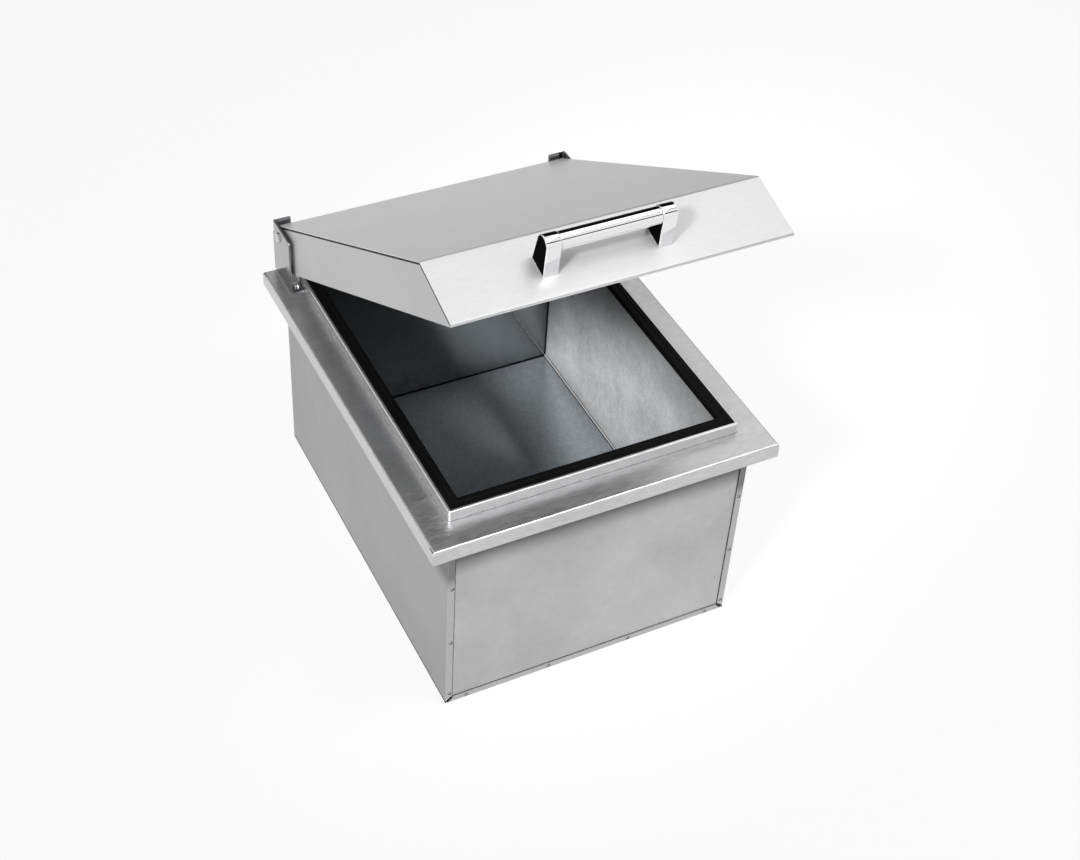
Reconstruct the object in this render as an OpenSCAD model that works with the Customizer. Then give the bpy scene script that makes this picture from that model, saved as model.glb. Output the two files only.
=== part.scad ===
// Drop-in cooler: an insulated steel tub that hangs in a counter by its deck, with a
// hinged insulated lid. Origin at the centre of the casing's underside, +Z up, front at -Y.
// The lid is drawn partly open, as it stands at rest.

/* [Deck] */
// Width of the deck, side to side
deck_w = 381; // [340:1:460]
// Depth of the deck, front to back
deck_d = 464; // [420:1:560]
// Height of the turned-down edge that stands on the counter
deck_edge_h = 16.5; // [12:0.5:24]
// Thickness of the deck's sheet
deck_sheet = 1.5; // [1:0.1:2]
// Outside radius of the deck's bend
deck_bend_r = 3; // [2.5:0.5:5]
// From the deck's side edge in to the collar
collar_side = 30.5; // [28:1:40]
// From the deck's front edge in to the collar
collar_front = 32.5; // [26:1:45]
// From the deck's back edge in to the collar
collar_back = 30; // [28:1:45]
// Height of the collar above the deck
collar_h = 12.5; // [9:0.5:18]
// Width of the collar's turned-in top edge
collar_return = 3; // [2.5:0.1:5]
// Radius of the collar's upright corners
collar_corner_r = 3; // [2:0.5:4]
// Length of the relief slit beside each corner of the deck
relief_len = 7; // [4:1:12]
// Width of the relief slit
relief_w = 0.8; // [0.5:0.1:1.2]

/* [Gasket] */
// Width of the gasket, from the collar to its inner edge
gasket_w = 14.5; // [11:0.5:18]
// Thickness of the gasket's base under the collar's edge
gasket_base_t = 3; // [2:0.5:4]
// How far the gasket stands above the collar
gasket_proud = 0.2; // [0.1:0.1:0.4]
// Thickness of the skirt that covers the top of the tub's wall
skirt_t = 2; // [1.5:0.5:3]
// How far the skirt hangs below the gasket's seat
skirt_drop = 2; // [2:1:8]

/* [Tub] */
// Depth of the tub, from its flange to its floor
tub_depth = 204; // [160:1:210]
// Thickness of the tub's sheet
tub_sheet = 1; // [0.8:0.1:1.5]
// Leg of the weld bead between the tub's side walls and its floor
bead_leg = 1.6; // [1:0.1:3]

/* [Casing] */
// Height of the deck's top above the casing's underside
casing_h = 250; // [230:1:300]
// From the deck's side edge in to the casing
casing_side = 24; // [20:1:27]
// From the deck's front edge in to the casing
casing_front = 16; // [8:1:24]
// From the deck's back edge in to the casing
casing_back = 5; // [4:1:20]
// Thickness of the casing's sheet
casing_sheet = 1; // [0.8:0.1:1.5]
// Width of the flanges that frame the front and back panels
seam_w = 7; // [6:0.5:12]
// Gap of the mitred corners between the flanges
mitre_gap = 1.2; // [0.4:0.1:1.4]
// Height of the lowest weld mark above the underside
weld_first = 14; // [12:1:24]
// Weld marks on each upright flange
weld_rows = 3; // [2:1:3]
// Distance between the weld marks on an upright flange
weld_pitch = 79.5; // [50:0.5:100]
// Weld marks along each bottom flange
weld_cols = 4; // [2:1:6]
// From a bottom flange's upper corner in to its first weld mark
weld_in = 16; // [10:1:30]
// Radius of a weld mark
weld_r = 2; // [1:0.25:3]
// Depth of a weld mark
weld_depth = 0.5; // [0.2:0.1:0.6]
// Gap between an insulation board and the sheets beside it
board_gap = 0.3; // [0.2:0.1:1]

/* [Drain] */
// From the tub's front wall back to the drain's middle
drain_in = 76.75; // [50:0.25:160]
// Inside radius of the drain's outlet
outlet_r = 12; // [9:0.5:14]
// Wall of the drain's outlet
outlet_wall = 3; // [2:0.5:4]
// Radius of the drain's flange in the tub
drain_flange_r = 32; // [28:1:40]
// Thickness of the drain's flange
drain_flange_t = 2.5; // [2:0.5:4]
// Thickness of the strainer plate
strainer_t = 1; // [0.8:0.1:1.2]
// Radius of a hole in the strainer
strainer_hole_r = 2.2; // [1.5:0.1:2.5]
// Thickness of the rubber seal under the tub
seal_t = 2.5; // [1.5:0.5:4]
// Width of the seal's ring round the outlet
seal_w = 9; // [6:0.5:12]
// Thickness of the locknut under the seal
locknut_t = 8; // [6:1:12]
// Width of the locknut from the outlet to its corners
locknut_w = 8; // [6:0.5:12]
// Radial clearance where the outlet passes the tub and the bottom pan
outlet_clear = 0.5; // [0.3:0.1:1]

/* [Lid] */
// Height of the lid, from its lower edge to its top
lid_h = 53; // [50:1:70]
// Depth of the lid's flat top
lid_top_d = 437; // [400:1:500]
// How far the front slopes out from the top edge to the lower edge
slope_run = 50.5; // [40:0.5:60]
// Thickness of the lid's sheet
lid_sheet = 1.2; // [1:0.1:1.6]
// Outside radius of the bend between the top and the slope
slope_bend_r = 4; // [3:0.5:6]
// Outside radius of the bend at the back
back_bend_r = 2.5; // [2:0.5:4]
// Outside radius of the front hem
hem_r = 1.8; // [1.7:0.1:2.5]
// Width of the hem turned in under the lid
hem_w = 12; // [11:0.5:16]
// Width of the groove between the lid's skin and its side cheeks
seam_gap = 0.8; // [0.4:0.1:1.2]
// Depth of that groove
seam_depth = 0.6; // [0.3:0.1:0.8]
// Thickness of the liner under the lid
liner_t = 1; // [0.8:0.1:1.2]
// Height of the liner's upstand
liner_up = 8; // [5:0.5:10]
// Gap between the closed lid and the collar
lid_gap = 0.5; // [0.5:0.1:1]
// Gap between the hem and the liner
liner_gap = 0.3; // [0.2:0.1:0.5]
// How far the lid stands open at rest, in degrees
open_rest = 30; // [0:0.5:90]

/* [Hinge] */
// From the deck's side edge in to the bracket
bracket_side = 14.5; // [12:0.5:16]
// From the deck's back edge in to the bracket
bracket_back = 0.5; // [0:0.5:3]
// Thickness of the bracket
bracket_t = 2; // [1.5:0.1:3]
// Outside radius of the bracket's bends
bracket_bend_r = 3; // [3:0.5:4]
// Depth of the bracket, front to back
bracket_d = 49; // [44:1:70]
// Height of the bracket above the pivot
bracket_above = 13; // [10:1:15]
// Gap between the bracket and the lid, filled by a washer
hinge_gap = 3; // [1.5:0.5:3.5]
// From the bracket's back edge in to the pivot
pivot_in = 17; // [17:0.5:24]
// From the lid's back edge to the pivot
pivot_from_back = 8.5; // [8:0.5:10]
// From the lid's top down to the pivot
pivot_below_top = 11.5; // [10:0.5:20]
// Radius of the pivot screw
pivot_r = 3; // [2.5:0.25:4]
// Radial clearance of the pivot screw in its bush
pivot_clear = 0.05; // [0.02:0.01:0.09]
// Length of the stop tab, inward from the bracket's outer face
tab_w = 20; // [12:1:22]
// Height of the stop tab
tab_h = 16; // [10:1:18]
// Radius of the rounded corners on the bracket
bracket_corner_r = 2.5; // [1:0.5:4]
// From the bracket's front edge to its first foot screw
foot_screw_in = 10; // [8:0.5:12]
// Distance between the two foot screws
foot_screw_pitch = 24; // [14:1:26]

/* [Handle] */
// Length of the handle over its posts
handle_len = 130; // [110:0.5:180]
// Offset of the handle from the lid's middle
handle_x = -9.5; // [-20:1:20]
// Width of a post
post_w = 15.2; // [12:0.1:20]
// From the slope's top edge to the bar's axis, along the slope
bar_t = 33.5; // [28:0.5:38]
// Height of the bar's axis off the slope
bar_n = 29; // [26:0.5:38]
// Radius of the bar
bar_r = 8.5; // [7:0.25:9.5]
// Wall of the post around the bar
post_wall = 0.8; // [0.8:0.1:2]
// From the bar's axis down the slope to the post's lower corner
post_toe = 14.8; // [13:0.1:22]
// Depth of the bar's socket in a post
socket_d = 7; // [4:0.5:10]
// Radial clearance of the bar in its sockets
socket_clear = 0.05; // [0.02:0.01:0.1]

/* [Fasteners] */
// Shank radius of the bracket and handle screws
screw_r = 2.5; // [2:0.25:3]
// Radius of a pan head
head_r = 4.8; // [4:0.1:6]
// Radius of a pivot screw's head
pivot_head_r = 5.5; // [4:0.1:6]
// Height of a pan head
head_h = 3; // [2:0.5:4]
// Width of a cross slot in a pan head
slot_w = 1.1; // [0.8:0.1:1.5]
// Radial clearance of a screw in its hole
screw_clear = 0.1; // [0.05:0.05:0.3]
// Radius of a washer beside the lid
washer_r = 7.5; // [6:0.5:8]
// Thickness of a pivot nut
nut_t = 5; // [4:0.5:6]
// Width across the flats of a pivot nut
nut_af = 10; // [8:0.5:13]

/* [Hidden] */
$fn = 64;
// Overshoot of a cut past the face that it opens
eps = 1;

// Collar, gasket and tub, worked inward from the deck's edges
collar_w = deck_w - 2 * collar_side;
collar_d = deck_d - collar_front - collar_back;
collar_y = (collar_front - collar_back) / 2;
mouth_w = collar_w - 2 * deck_sheet;
mouth_d = collar_d - 2 * deck_sheet;
mouth_r = collar_corner_r - deck_sheet;
deck_under = casing_h - deck_sheet;
collar_top = casing_h + collar_h;
gasket_seat = collar_top - deck_sheet - gasket_base_t;
tub_w = mouth_w - 2 * (gasket_w - skirt_t);
tub_d = mouth_d - 2 * (gasket_w - skirt_t);
tub_floor = gasket_seat - tub_depth;

// Casing
casing_w = deck_w - 2 * casing_side;
casing_d = deck_d - casing_front - casing_back;
casing_y = (casing_front - casing_back) / 2;
end_y = [casing_y - casing_d / 2, casing_y + casing_d / 2];

// Drain
drain_y = collar_y - tub_d / 2 + drain_in;
outlet_out_r = outlet_r + outlet_wall;
strainer_r = drain_flange_r - 6;
drain_well = drain_flange_t - strainer_t;

// Lid in its closed place, as a profile seen from the right: back is +, front is -
lid_z = collar_top + lid_gap;
lid_top = lid_z + lid_h;
pivot_y = deck_d / 2 - bracket_back - pivot_in;
pivot_z = lid_top - pivot_below_top;
lid_back = pivot_y + pivot_from_back;
lid_w = deck_w - 2 * (bracket_side + bracket_t + hinge_gap);
lid_edge_y = lid_back - lid_top_d;
lid_front = lid_edge_y - slope_run;
lid_profile = [[lid_back, lid_z], [lid_back, lid_top], [lid_edge_y, lid_top], [lid_front, lid_z]];
lid_radii = [0, back_bend_r, slope_bend_r, hem_r];
slope_angle = atan2(lid_h, slope_run);

// Hinge
bracket_out = deck_w / 2 - bracket_side;
bracket_in = bracket_out - bracket_t;
bracket_y1 = deck_d / 2 - bracket_back;
bracket_y0 = bracket_y1 - bracket_d;
bracket_h = pivot_z + bracket_above - casing_h;
foot_in = collar_w / 2 + 0.5;
foot_x = (foot_in + bracket_in) / 2;
foot_ys = [bracket_y0 + foot_screw_in, bracket_y0 + foot_screw_in + foot_screw_pitch];
bush_r = pivot_r + 2;
bush_flange_r = bush_r + 1.5;
bush_flange_t = 2;
bush_len = 9;
// Side gap between the lid and the pieces on its pivot screws
pivot_end_gap = 0.3;
lid_side = lid_w / 2;
pivot_reach = lid_side - bush_len - pivot_end_gap;
pocket_r = bush_flange_r + 1.5;

// Handle: t runs down the slope from its top edge, n stands off the slope
post_head_r = bar_r + post_wall;
post_x = (handle_len - post_w) / 2;
post_screw_t = bar_t + 3;
post_screw_d = bar_n - post_head_r - 4;

// Lengths and unit vectors in the plane
function unit(v) = v / norm(v);
function wrap(p, i) = p[(i + len(p)) % len(p)];
function half_angle(p, i) =
    acos(unit(wrap(p, i - 1) - p[i]) * unit(wrap(p, i + 1) - p[i])) / 2;
// Point on the corner's bisector, at distance d from both sides
function corner_in(p, i, d) =
    let (a = unit(wrap(p, i - 1) - p[i]), b = unit(wrap(p, i + 1) - p[i]))
    p[i] + unit(a + b) * d / sin(half_angle(p, i));
// The same convex outline, with every side moved in by d
function inset(p, d) = [for (i = [0:len(p) - 1]) corner_in(p, i, d)];
// The outline with each corner cut where its bend begins and ends
function cut_corners(p, r) = [for (i = [0:len(p) - 1]) let (run = r[i] / tan(half_angle(p, i)))
    for (q = r[i] > 0 ? [wrap(p, i - 1), wrap(p, i + 1)] : [p[i]])
        r[i] > 0 ? p[i] + unit(q - p[i]) * run : q];

// Convex outline with round bends
module bent_outline(p, r) {
    polygon(cut_corners(p, r));
    for (i = [0:len(p) - 1]) if (r[i] > 0) translate(corner_in(p, i, r[i])) circle(r[i]);
}

// Extrusion along X, centred, of an outline given as depth and height
module across(w) {
    rotate([90, 0, 90]) translate([0, 0, -w / 2]) linear_extrude(w) children();
}

// Block centred on X, with its middle at depth y and its underside at height z
module slab(w, d, h, y, z) {
    translate([-w / 2, y - d / 2, z]) cube([w, d, h]);
}

// The same block with upright edges rounded to radius r
module round_slab(w, d, h, y, z, r) {
    translate([0, y, z]) linear_extrude(h)
        bent_outline([[-w / 2, -d / 2], [w / 2, -d / 2], [w / 2, d / 2], [-w / 2, d / 2]], [r, r, r, r]);
}

// Upright frame: a slab with a wall of thickness t and no middle
module frame_wall(w, d, h, y, z, t) {
    difference() {
        slab(w, d, h, y, z);
        slab(w - 2 * t, d - 2 * t, h + 2 * eps, y, z - eps);
    }
}

// Rectangle centred on X, standing on the X axis, with its top corners rounded
module arch(w, h, r) {
    translate([-w / 2, 0]) square([w, h - r]);
    translate([-w / 2 + r, 0]) square([w - 2 * r, h]);
    for (s = [-1, 1]) translate([s * (w / 2 - r), h - r]) circle(r);
}

// Block whose four top edges are bent, with mitred corners
module bent_block(w, d, h, r) {
    intersection() {
        rotate([90, 0, 0]) translate([0, 0, -d / 2]) linear_extrude(d) arch(w, h, r);
        across(w) arch(d, h, r);
    }
}

// Section of a bent strip: legs a along -x and b along +y, outside corner at the origin
module bent_angle(a, b, t, r) {
    translate([-a, 0]) square([a - r, t]);
    translate([-t, r]) square([t, b - r]);
    translate([-r, r]) intersection() {
        difference() {
            circle(r);
            circle(r - t);
        }
        translate([0, -r]) square(r);
    }
}

// Mirrored copies on both sides, or one side: side is 1 for right and -1 for left
module on_side(side) {
    mirror([side < 0 ? 1 : 0, 0, 0]) children();
}

module both_sides() {
    for (side = [-1, 1]) on_side(side) children();
}

// The lid's pieces are drawn closed and turned open about the pivot
module opened() {
    translate([0, pivot_y, pivot_z]) rotate([-open_rest, 0, 0])
        translate([0, -pivot_y, -pivot_z]) children();
}

// Local frame on the slope: y up the slope from its top edge, z off the slope
module on_slope() {
    translate([0, lid_edge_y, lid_top]) rotate([slope_angle, 0, 0]) children();
}

// Pan head screw pointing down, the head's underside at the origin
module pan_screw(shank) {
    difference() {
        union() {
            translate([0, 0, -shank]) cylinder(r = screw_r, h = shank);
            cylinder(r = head_r, h = head_h * 0.45);
            translate([0, 0, head_h * 0.45]) cylinder(r1 = head_r, r2 = head_r * 0.62, h = head_h * 0.55);
        }
        for (a = [0, 90]) rotate(a)
            translate([-head_r * 0.5, -slot_w / 2, head_h * 0.5]) cube([head_r, slot_w, head_h]);
    }
}

// Relief slits in the deck's side bends, one beside each corner
module relief_slits() {
    bite = deck_bend_r * (1 - sqrt(0.5));
    both_sides() for (end = [-1, 1])
        translate([deck_w / 2 - bite, end * (deck_d / 2 - deck_bend_r - relief_len / 2), casing_h - bite])
            rotate([0, 45, 0]) cube([relief_w, relief_len, deck_sheet * 1.4], center = true);
}

// Deck with its turned-down edge, cut out for the collar
module top_deck() {
    color("#b4b5b6") difference() {
        translate([0, 0, casing_h - deck_edge_h]) bent_block(deck_w, deck_d, deck_edge_h, deck_bend_r);
        translate([0, 0, casing_h - deck_edge_h - eps])
            bent_block(deck_w - 2 * deck_sheet, deck_d - 2 * deck_sheet,
                deck_edge_h - deck_sheet + eps, deck_bend_r - deck_sheet);
        round_slab(collar_w, collar_d, deck_sheet + 2 * eps, collar_y, deck_under - eps, collar_corner_r);
        both_sides() for (y = foot_ys) translate([foot_x, y, deck_under - eps])
            cylinder(r = screw_r + screw_clear, h = deck_sheet + 2 * eps);
        relief_slits();
    }
}

// Collar: a folded frame welded into the deck's cut-out, with its top edge turned in
module deck_collar() {
    rise = collar_h + deck_sheet;
    color("#bdbebf") difference() {
        intersection() {
            translate([0, collar_y, deck_under]) bent_block(collar_w, collar_d, rise, deck_sheet);
            round_slab(collar_w, collar_d, rise, collar_y, deck_under, collar_corner_r);
        }
        round_slab(mouth_w, mouth_d, collar_h + eps, collar_y, deck_under - eps, mouth_r);
        slab(collar_w - 2 * collar_return, collar_d - 2 * collar_return, rise + 2 * eps, collar_y,
            deck_under - eps);
    }
}

// Black gasket: base under the collar's edge, crown inside it, skirt over the tub's wall
module lid_gasket() {
    crown_in = collar_return - deck_sheet + 0.1;
    crown_w = mouth_w - 2 * crown_in;
    crown_d = mouth_d - 2 * crown_in;
    crown_h = collar_top + gasket_proud - gasket_seat;
    color("#161616") difference() {
        union() {
            round_slab(mouth_w, mouth_d, gasket_base_t, collar_y, gasket_seat, mouth_r);
            slab(crown_w, crown_d, crown_h, collar_y, gasket_seat);
            slab(tub_w, tub_d, skirt_drop + gasket_base_t, collar_y, gasket_seat - skirt_drop);
        }
        slab(tub_w - 2 * skirt_t, tub_d - 2 * skirt_t, skirt_drop + crown_h + 2 * eps, collar_y,
            gasket_seat - skirt_drop - eps);
    }
}

// Tub's main sheet: floor, front and back walls, and their flanges under the gasket
module inner_tub() {
    flange_z = gasket_seat - tub_sheet;
    color("#8f979c") difference() {
        union() {
            slab(tub_w + 2 * tub_sheet, tub_d + 2 * tub_sheet, tub_depth + tub_sheet, collar_y,
                tub_floor - tub_sheet);
            round_slab(mouth_w, mouth_d, tub_sheet, collar_y, flange_z, mouth_r);
        }
        slab(tub_w, tub_d, tub_depth + eps, collar_y, tub_floor);
        slab(mouth_w + 2 * eps, tub_d, tub_depth + eps, collar_y, tub_floor);
        translate([0, drain_y, tub_floor - tub_sheet - eps])
            cylinder(r = outlet_out_r + outlet_clear, h = tub_sheet + 2 * eps);
    }
}

// Side wall of the tub: flange under the gasket, wall, and the weld bead at the floor
module right_tub_wall() {
    color("#959da2") translate([tub_w / 2, collar_y, 0]) rotate([90, 0, 0])
        translate([0, 0, -tub_d / 2]) linear_extrude(tub_d) {
            translate([0, tub_floor]) square([tub_sheet, tub_depth]);
            translate([0, gasket_seat - tub_sheet]) square([(mouth_w - tub_w) / 2, tub_sheet]);
            polygon([[0, tub_floor], [0, tub_floor + bead_leg], [-bead_leg, tub_floor]]);
        }
}

module left_tub_wall() {
    on_side(-1) right_tub_wall();
}

// Insulation boards between the tub and the casing
board_z = tub_floor - tub_sheet - board_gap;
board_in_w = casing_w / 2 - casing_sheet - board_gap;
board_end = [end_y[0] + 2 * casing_sheet + board_gap, end_y[1] - 2 * casing_sheet - board_gap];
tub_out_w = tub_w / 2 + tub_sheet + board_gap;
board_y = [collar_y - tub_d / 2 - tub_sheet - board_gap, collar_y + tub_d / 2 + tub_sheet + board_gap];
board_base = casing_sheet + board_gap;

module board(x0, x1, y0, y1, z0, z1) {
    color("#e8dfb8") translate([x0, y0, z0]) cube([x1 - x0, y1 - y0, z1 - z0]);
}

module front_insulation() {
    board(-board_in_w, board_in_w, board_end[0], board_y[0], board_base, deck_under - board_gap);
}

module back_insulation() {
    board(-board_in_w, board_in_w, board_y[1], board_end[1], board_base, deck_under - board_gap);
}

module right_insulation() {
    board(tub_out_w, board_in_w, board_y[0] + board_gap, board_y[1] - board_gap, board_base,
        deck_under - board_gap);
}

module left_insulation() {
    on_side(-1) right_insulation();
}

module floor_insulation() {
    difference() {
        board(-tub_out_w + board_gap, tub_out_w - board_gap, board_y[0] + board_gap, board_y[1] - board_gap,
            board_base, board_z);
        color("#e8dfb8") translate([0, drain_y, board_base - eps])
            cylinder(r = outlet_out_r * 2, h = board_z - board_base + 2 * eps);
    }
}

// Shallow round marks where the sheets are spot welded, cut into the front or back face
module weld_marks(points) {
    sphere_r = (weld_r * weld_r + weld_depth * weld_depth) / (2 * weld_depth);
    for (p = points, end = [-1, 1])
        translate([p[0], casing_y + end * (casing_d / 2 + sphere_r - weld_depth), p[1]]) sphere(sphere_r);
}

// Thin plate on the casing's front and back faces, from an outline of width and height
module end_faces() {
    for (y = [end_y[0] + casing_sheet, end_y[1]]) translate([0, y, 0])
        rotate([90, 0, 0]) linear_extrude(casing_sheet) children();
}

// Side of the casing, with flanges folded over the front and back, mitred at the bottom
module right_side_panel() {
    half = casing_w / 2;
    color("#a3a4a5") difference() {
        union() {
            translate([half - casing_sheet, end_y[0], 0]) cube([casing_sheet, casing_d, deck_under]);
            end_faces() polygon([[half, 0], [half, deck_under], [half - seam_w, deck_under],
                [half - seam_w, seam_w + mitre_gap], [half - casing_sheet, casing_sheet + mitre_gap],
                [half - casing_sheet, 0]]);
        }
        weld_marks([for (i = [0:weld_rows - 1])
            [half - seam_w / 2 - casing_sheet / 2, weld_first + i * weld_pitch]]);
    }
}

module left_side_panel() {
    on_side(-1) right_side_panel();
}

// Front panel, seated behind the flanges
module end_panel(end) {
    color("#b3b4b4") slab(casing_w - 2 * casing_sheet, casing_sheet, deck_under - casing_sheet,
        casing_y + end * (casing_d / 2 - 1.5 * casing_sheet), casing_sheet);
}

module front_panel() {
    end_panel(-1);
}

module back_panel() {
    end_panel(1);
}

// Bottom pan: flat floor with a mitred flange up the front and the back
module bottom_pan() {
    low = casing_w / 2 - casing_sheet - mitre_gap;
    high = casing_w / 2 - seam_w - mitre_gap;
    mark_x = casing_w / 2 - seam_w - weld_in;
    color("#a9aaab") difference() {
        union() {
            slab(casing_w - 2 * casing_sheet, casing_d - 2 * casing_sheet, casing_sheet, casing_y, 0);
            end_faces() polygon([[-low, 0], [low, 0], [high, seam_w], [-high, seam_w]]);
        }
        weld_marks([for (i = [0:weld_cols - 1])
            [-mark_x + i * 2 * mark_x / max(weld_cols - 1, 1), seam_w / 2]]);
        translate([0, drain_y, -eps]) cylinder(r = outlet_out_r + outlet_clear, h = casing_sheet + 2 * eps);
    }
}

// Drain: flange in the tub, outlet tube down to the bottom pan
module drain_fitting() {
    color("#c8c9ca") translate([0, drain_y, 0]) difference() {
        union() {
            translate([0, 0, tub_floor]) cylinder(r = drain_flange_r, h = drain_flange_t);
            cylinder(r = outlet_out_r, h = tub_floor + eps);
        }
        translate([0, 0, -eps]) cylinder(r = outlet_r, h = tub_floor + drain_flange_t + 2 * eps);
        translate([0, 0, tub_floor + drain_well]) cylinder(r = strainer_r + 0.2, h = drain_flange_t);
    }
}

module drain_strainer() {
    color("#d2d3d4") translate([0, drain_y, tub_floor + drain_well]) difference() {
        cylinder(r = strainer_r, h = strainer_t);
        translate([0, 0, -eps]) cylinder(r = strainer_hole_r, h = strainer_t + 2 * eps);
        for (ring = [1, 2], i = [0:6 * ring - 1])
            rotate(i * 60 / ring) translate([ring * strainer_hole_r * 2.4, 0, -eps])
                cylinder(r = strainer_hole_r, h = strainer_t + 2 * eps, $fn = 24);
    }
}

module drain_seal() {
    color("#1b1b1b") translate([0, drain_y, tub_floor - tub_sheet - seal_t]) difference() {
        cylinder(r = outlet_out_r + seal_w, h = seal_t);
        translate([0, 0, -eps]) cylinder(r = outlet_out_r + 0.2, h = seal_t + 2 * eps);
    }
}

module drain_locknut() {
    color("#b98d3e") translate([0, drain_y, tub_floor - tub_sheet - seal_t - locknut_t]) difference() {
        cylinder(r = outlet_out_r + locknut_w, h = locknut_t, $fn = 6);
        translate([0, 0, -eps]) cylinder(r = outlet_out_r + 0.1, h = locknut_t + 2 * eps);
    }
}

// Hinge bracket: foot on the deck, upright plate, and a tab that stops the opened lid
module right_hinge_bracket() {
    top = casing_h + bracket_h;
    color("#9fa0a1") difference() {
        intersection() {
            union() {
                translate([bracket_out, bracket_y1, casing_h]) rotate([90, 0, 0]) linear_extrude(bracket_d)
                    bent_angle(bracket_out - foot_in, bracket_h, bracket_t, bracket_bend_r);
                translate([bracket_out, bracket_y1, top - tab_h]) linear_extrude(tab_h)
                    mirror([0, 1]) bent_angle(tab_w, bracket_bend_r * 2, bracket_t, bracket_bend_r);
            }
            across(deck_w) bent_outline([[bracket_y0, casing_h], [bracket_y1, casing_h],
                [bracket_y1, top], [bracket_y0, top]], [0, 0, bracket_corner_r, bracket_corner_r]);
            translate([bracket_out, 0, 0]) rotate([90, 0, 0]) linear_extrude(deck_d * 2, center = true)
                bent_outline([[-tab_w, casing_h - eps], [eps, casing_h - eps], [eps, top], [-tab_w, top]],
                    [0, 0, 0, bracket_corner_r]);
        }
        translate([bracket_out - bracket_bend_r, bracket_y1 - bracket_bend_r, top - tab_h]) difference() {
            cube([bracket_bend_r + eps, bracket_bend_r + eps, tab_h + eps]);
            cylinder(r = bracket_bend_r, h = tab_h + eps);
        }
        translate([bracket_in - eps, pivot_y, pivot_z]) rotate([0, 90, 0])
            cylinder(r = pivot_r + pivot_clear, h = bracket_t + 2 * eps);
        for (y = foot_ys) translate([foot_x, y, casing_h - eps])
            cylinder(r = screw_r + screw_clear, h = bracket_t + 2 * eps);
    }
}

module left_hinge_bracket() {
    on_side(-1) right_hinge_bracket();
}

module bracket_screws() {
    color("#d0d1d2") both_sides() for (y = foot_ys)
        translate([foot_x, y, casing_h + bracket_t]) pan_screw(bracket_t + deck_sheet);
}

// Local frame on the pivot's line: z points outward, from distance x off the lid's middle
module on_pivot(x) {
    both_sides() translate([x, pivot_y, pivot_z]) rotate([0, 90, 0]) children();
}

// Pivot screws: head outside the bracket, shank through washer, bush and nut
module pivot_screws() {
    shank = bracket_out - pivot_reach + nut_t + 1;
    color("#c4c5c6") on_pivot(bracket_out) difference() {
        union() {
            translate([0, 0, -shank]) cylinder(r = pivot_r, h = shank);
            cylinder(r = pivot_head_r, h = head_h * 0.5);
            translate([0, 0, head_h * 0.5])
                cylinder(r1 = pivot_head_r, r2 = pivot_head_r * 0.6, h = head_h * 0.5);
        }
        rotate(45) translate([-pivot_head_r, -slot_w / 2, head_h * 0.6])
            cube([pivot_head_r * 2, slot_w, head_h]);
    }
}

module pivot_washers() {
    color("#202020") on_pivot(lid_side + pivot_end_gap) difference() {
        cylinder(r = washer_r, h = hinge_gap - pivot_end_gap);
        translate([0, 0, -eps]) cylinder(r = pivot_r + pivot_clear, h = hinge_gap + 2 * eps);
    }
}

module pivot_nuts() {
    color("#b0b1b2") on_pivot(pivot_reach - nut_t) difference() {
        cylinder(d = nut_af / cos(30), h = nut_t, $fn = 6);
        translate([0, 0, -eps]) cylinder(r = pivot_r + 0.02, h = nut_t + 2 * eps);
    }
}

// Flanged bushes set in the lid's sides, which turn on the pivot screws
module pivot_bushes() {
    color("#d8d4c6") opened() on_pivot(lid_side - bush_len) difference() {
        union() {
            cylinder(r = bush_r, h = bush_len);
            translate([0, 0, bush_len - lid_sheet - bush_flange_t])
                cylinder(r = bush_flange_r, h = bush_flange_t);
        }
        translate([0, 0, -eps]) cylinder(r = pivot_r + pivot_clear, h = bush_len + 2 * eps);
    }
}

// Outer skin of the lid: back, top and sloped front in one sheet, hemmed in below
module lid_skin() {
    color("#bcbdbe") opened() difference() {
        across(lid_w) bent_outline(lid_profile, lid_radii);
        across(lid_w + 2 * eps) bent_outline(inset(lid_profile, lid_sheet),
            [for (r = lid_radii) max(r - lid_sheet, 0)]);
        translate([-lid_w / 2 - eps, lid_front + hem_w, lid_z - eps])
            cube([lid_w + 2 * eps, lid_back - lid_front - 2 * hem_w, lid_sheet + 2 * eps]);
        on_slope() for (s = [-1, 1]) translate([handle_x + s * post_x, -post_screw_t, -lid_sheet - eps])
            cylinder(r = screw_r + screw_clear, h = lid_sheet + 2 * eps);
    }
}

// Side cheek of the lid, seated inside the skin and hemmed in below. A groove runs
// along the joint with the skin, from a plate whose outline is moved in on its outer face.
module right_lid_cheek() {
    lower = seam_gap * slope_run / lid_h;
    grooved = [[lid_back, lid_z - seam_gap], [lid_back, lid_top], [lid_edge_y, lid_top],
        [lid_front - lower, lid_z - seam_gap]];
    color("#b8b9ba") opened() difference() {
        union() {
            translate([lid_side - lid_sheet / 2 - seam_depth / 2, 0, 0]) across(lid_sheet - seam_depth)
                bent_outline(inset(lid_profile, lid_sheet), [for (r = lid_radii) max(r - lid_sheet, 0)]);
            translate([lid_side - lid_sheet / 2, 0, 0]) across(lid_sheet)
                bent_outline(inset(grooved, lid_sheet + seam_gap),
                    [for (r = lid_radii) max(r - lid_sheet - seam_gap, 0)]);
            translate([lid_side - hem_w, lid_front + hem_w, lid_z])
                cube([hem_w, lid_back - lid_front - 2 * hem_w, lid_sheet]);
        }
        translate([lid_side + eps, pivot_y, pivot_z]) rotate([0, -90, 0])
            cylinder(r = bush_r + 0.02, h = lid_sheet + 2 * eps);
    }
}

module left_lid_cheek() {
    on_side(-1) right_lid_cheek();
}

// Liner that closes the lid underneath, with an upstand inside the hem
liner_w = lid_w - 2 * hem_w - 2 * liner_gap;
liner_d = lid_back - lid_front - 2 * hem_w - 2 * liner_gap;
liner_y = (lid_back + lid_front) / 2;

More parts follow.
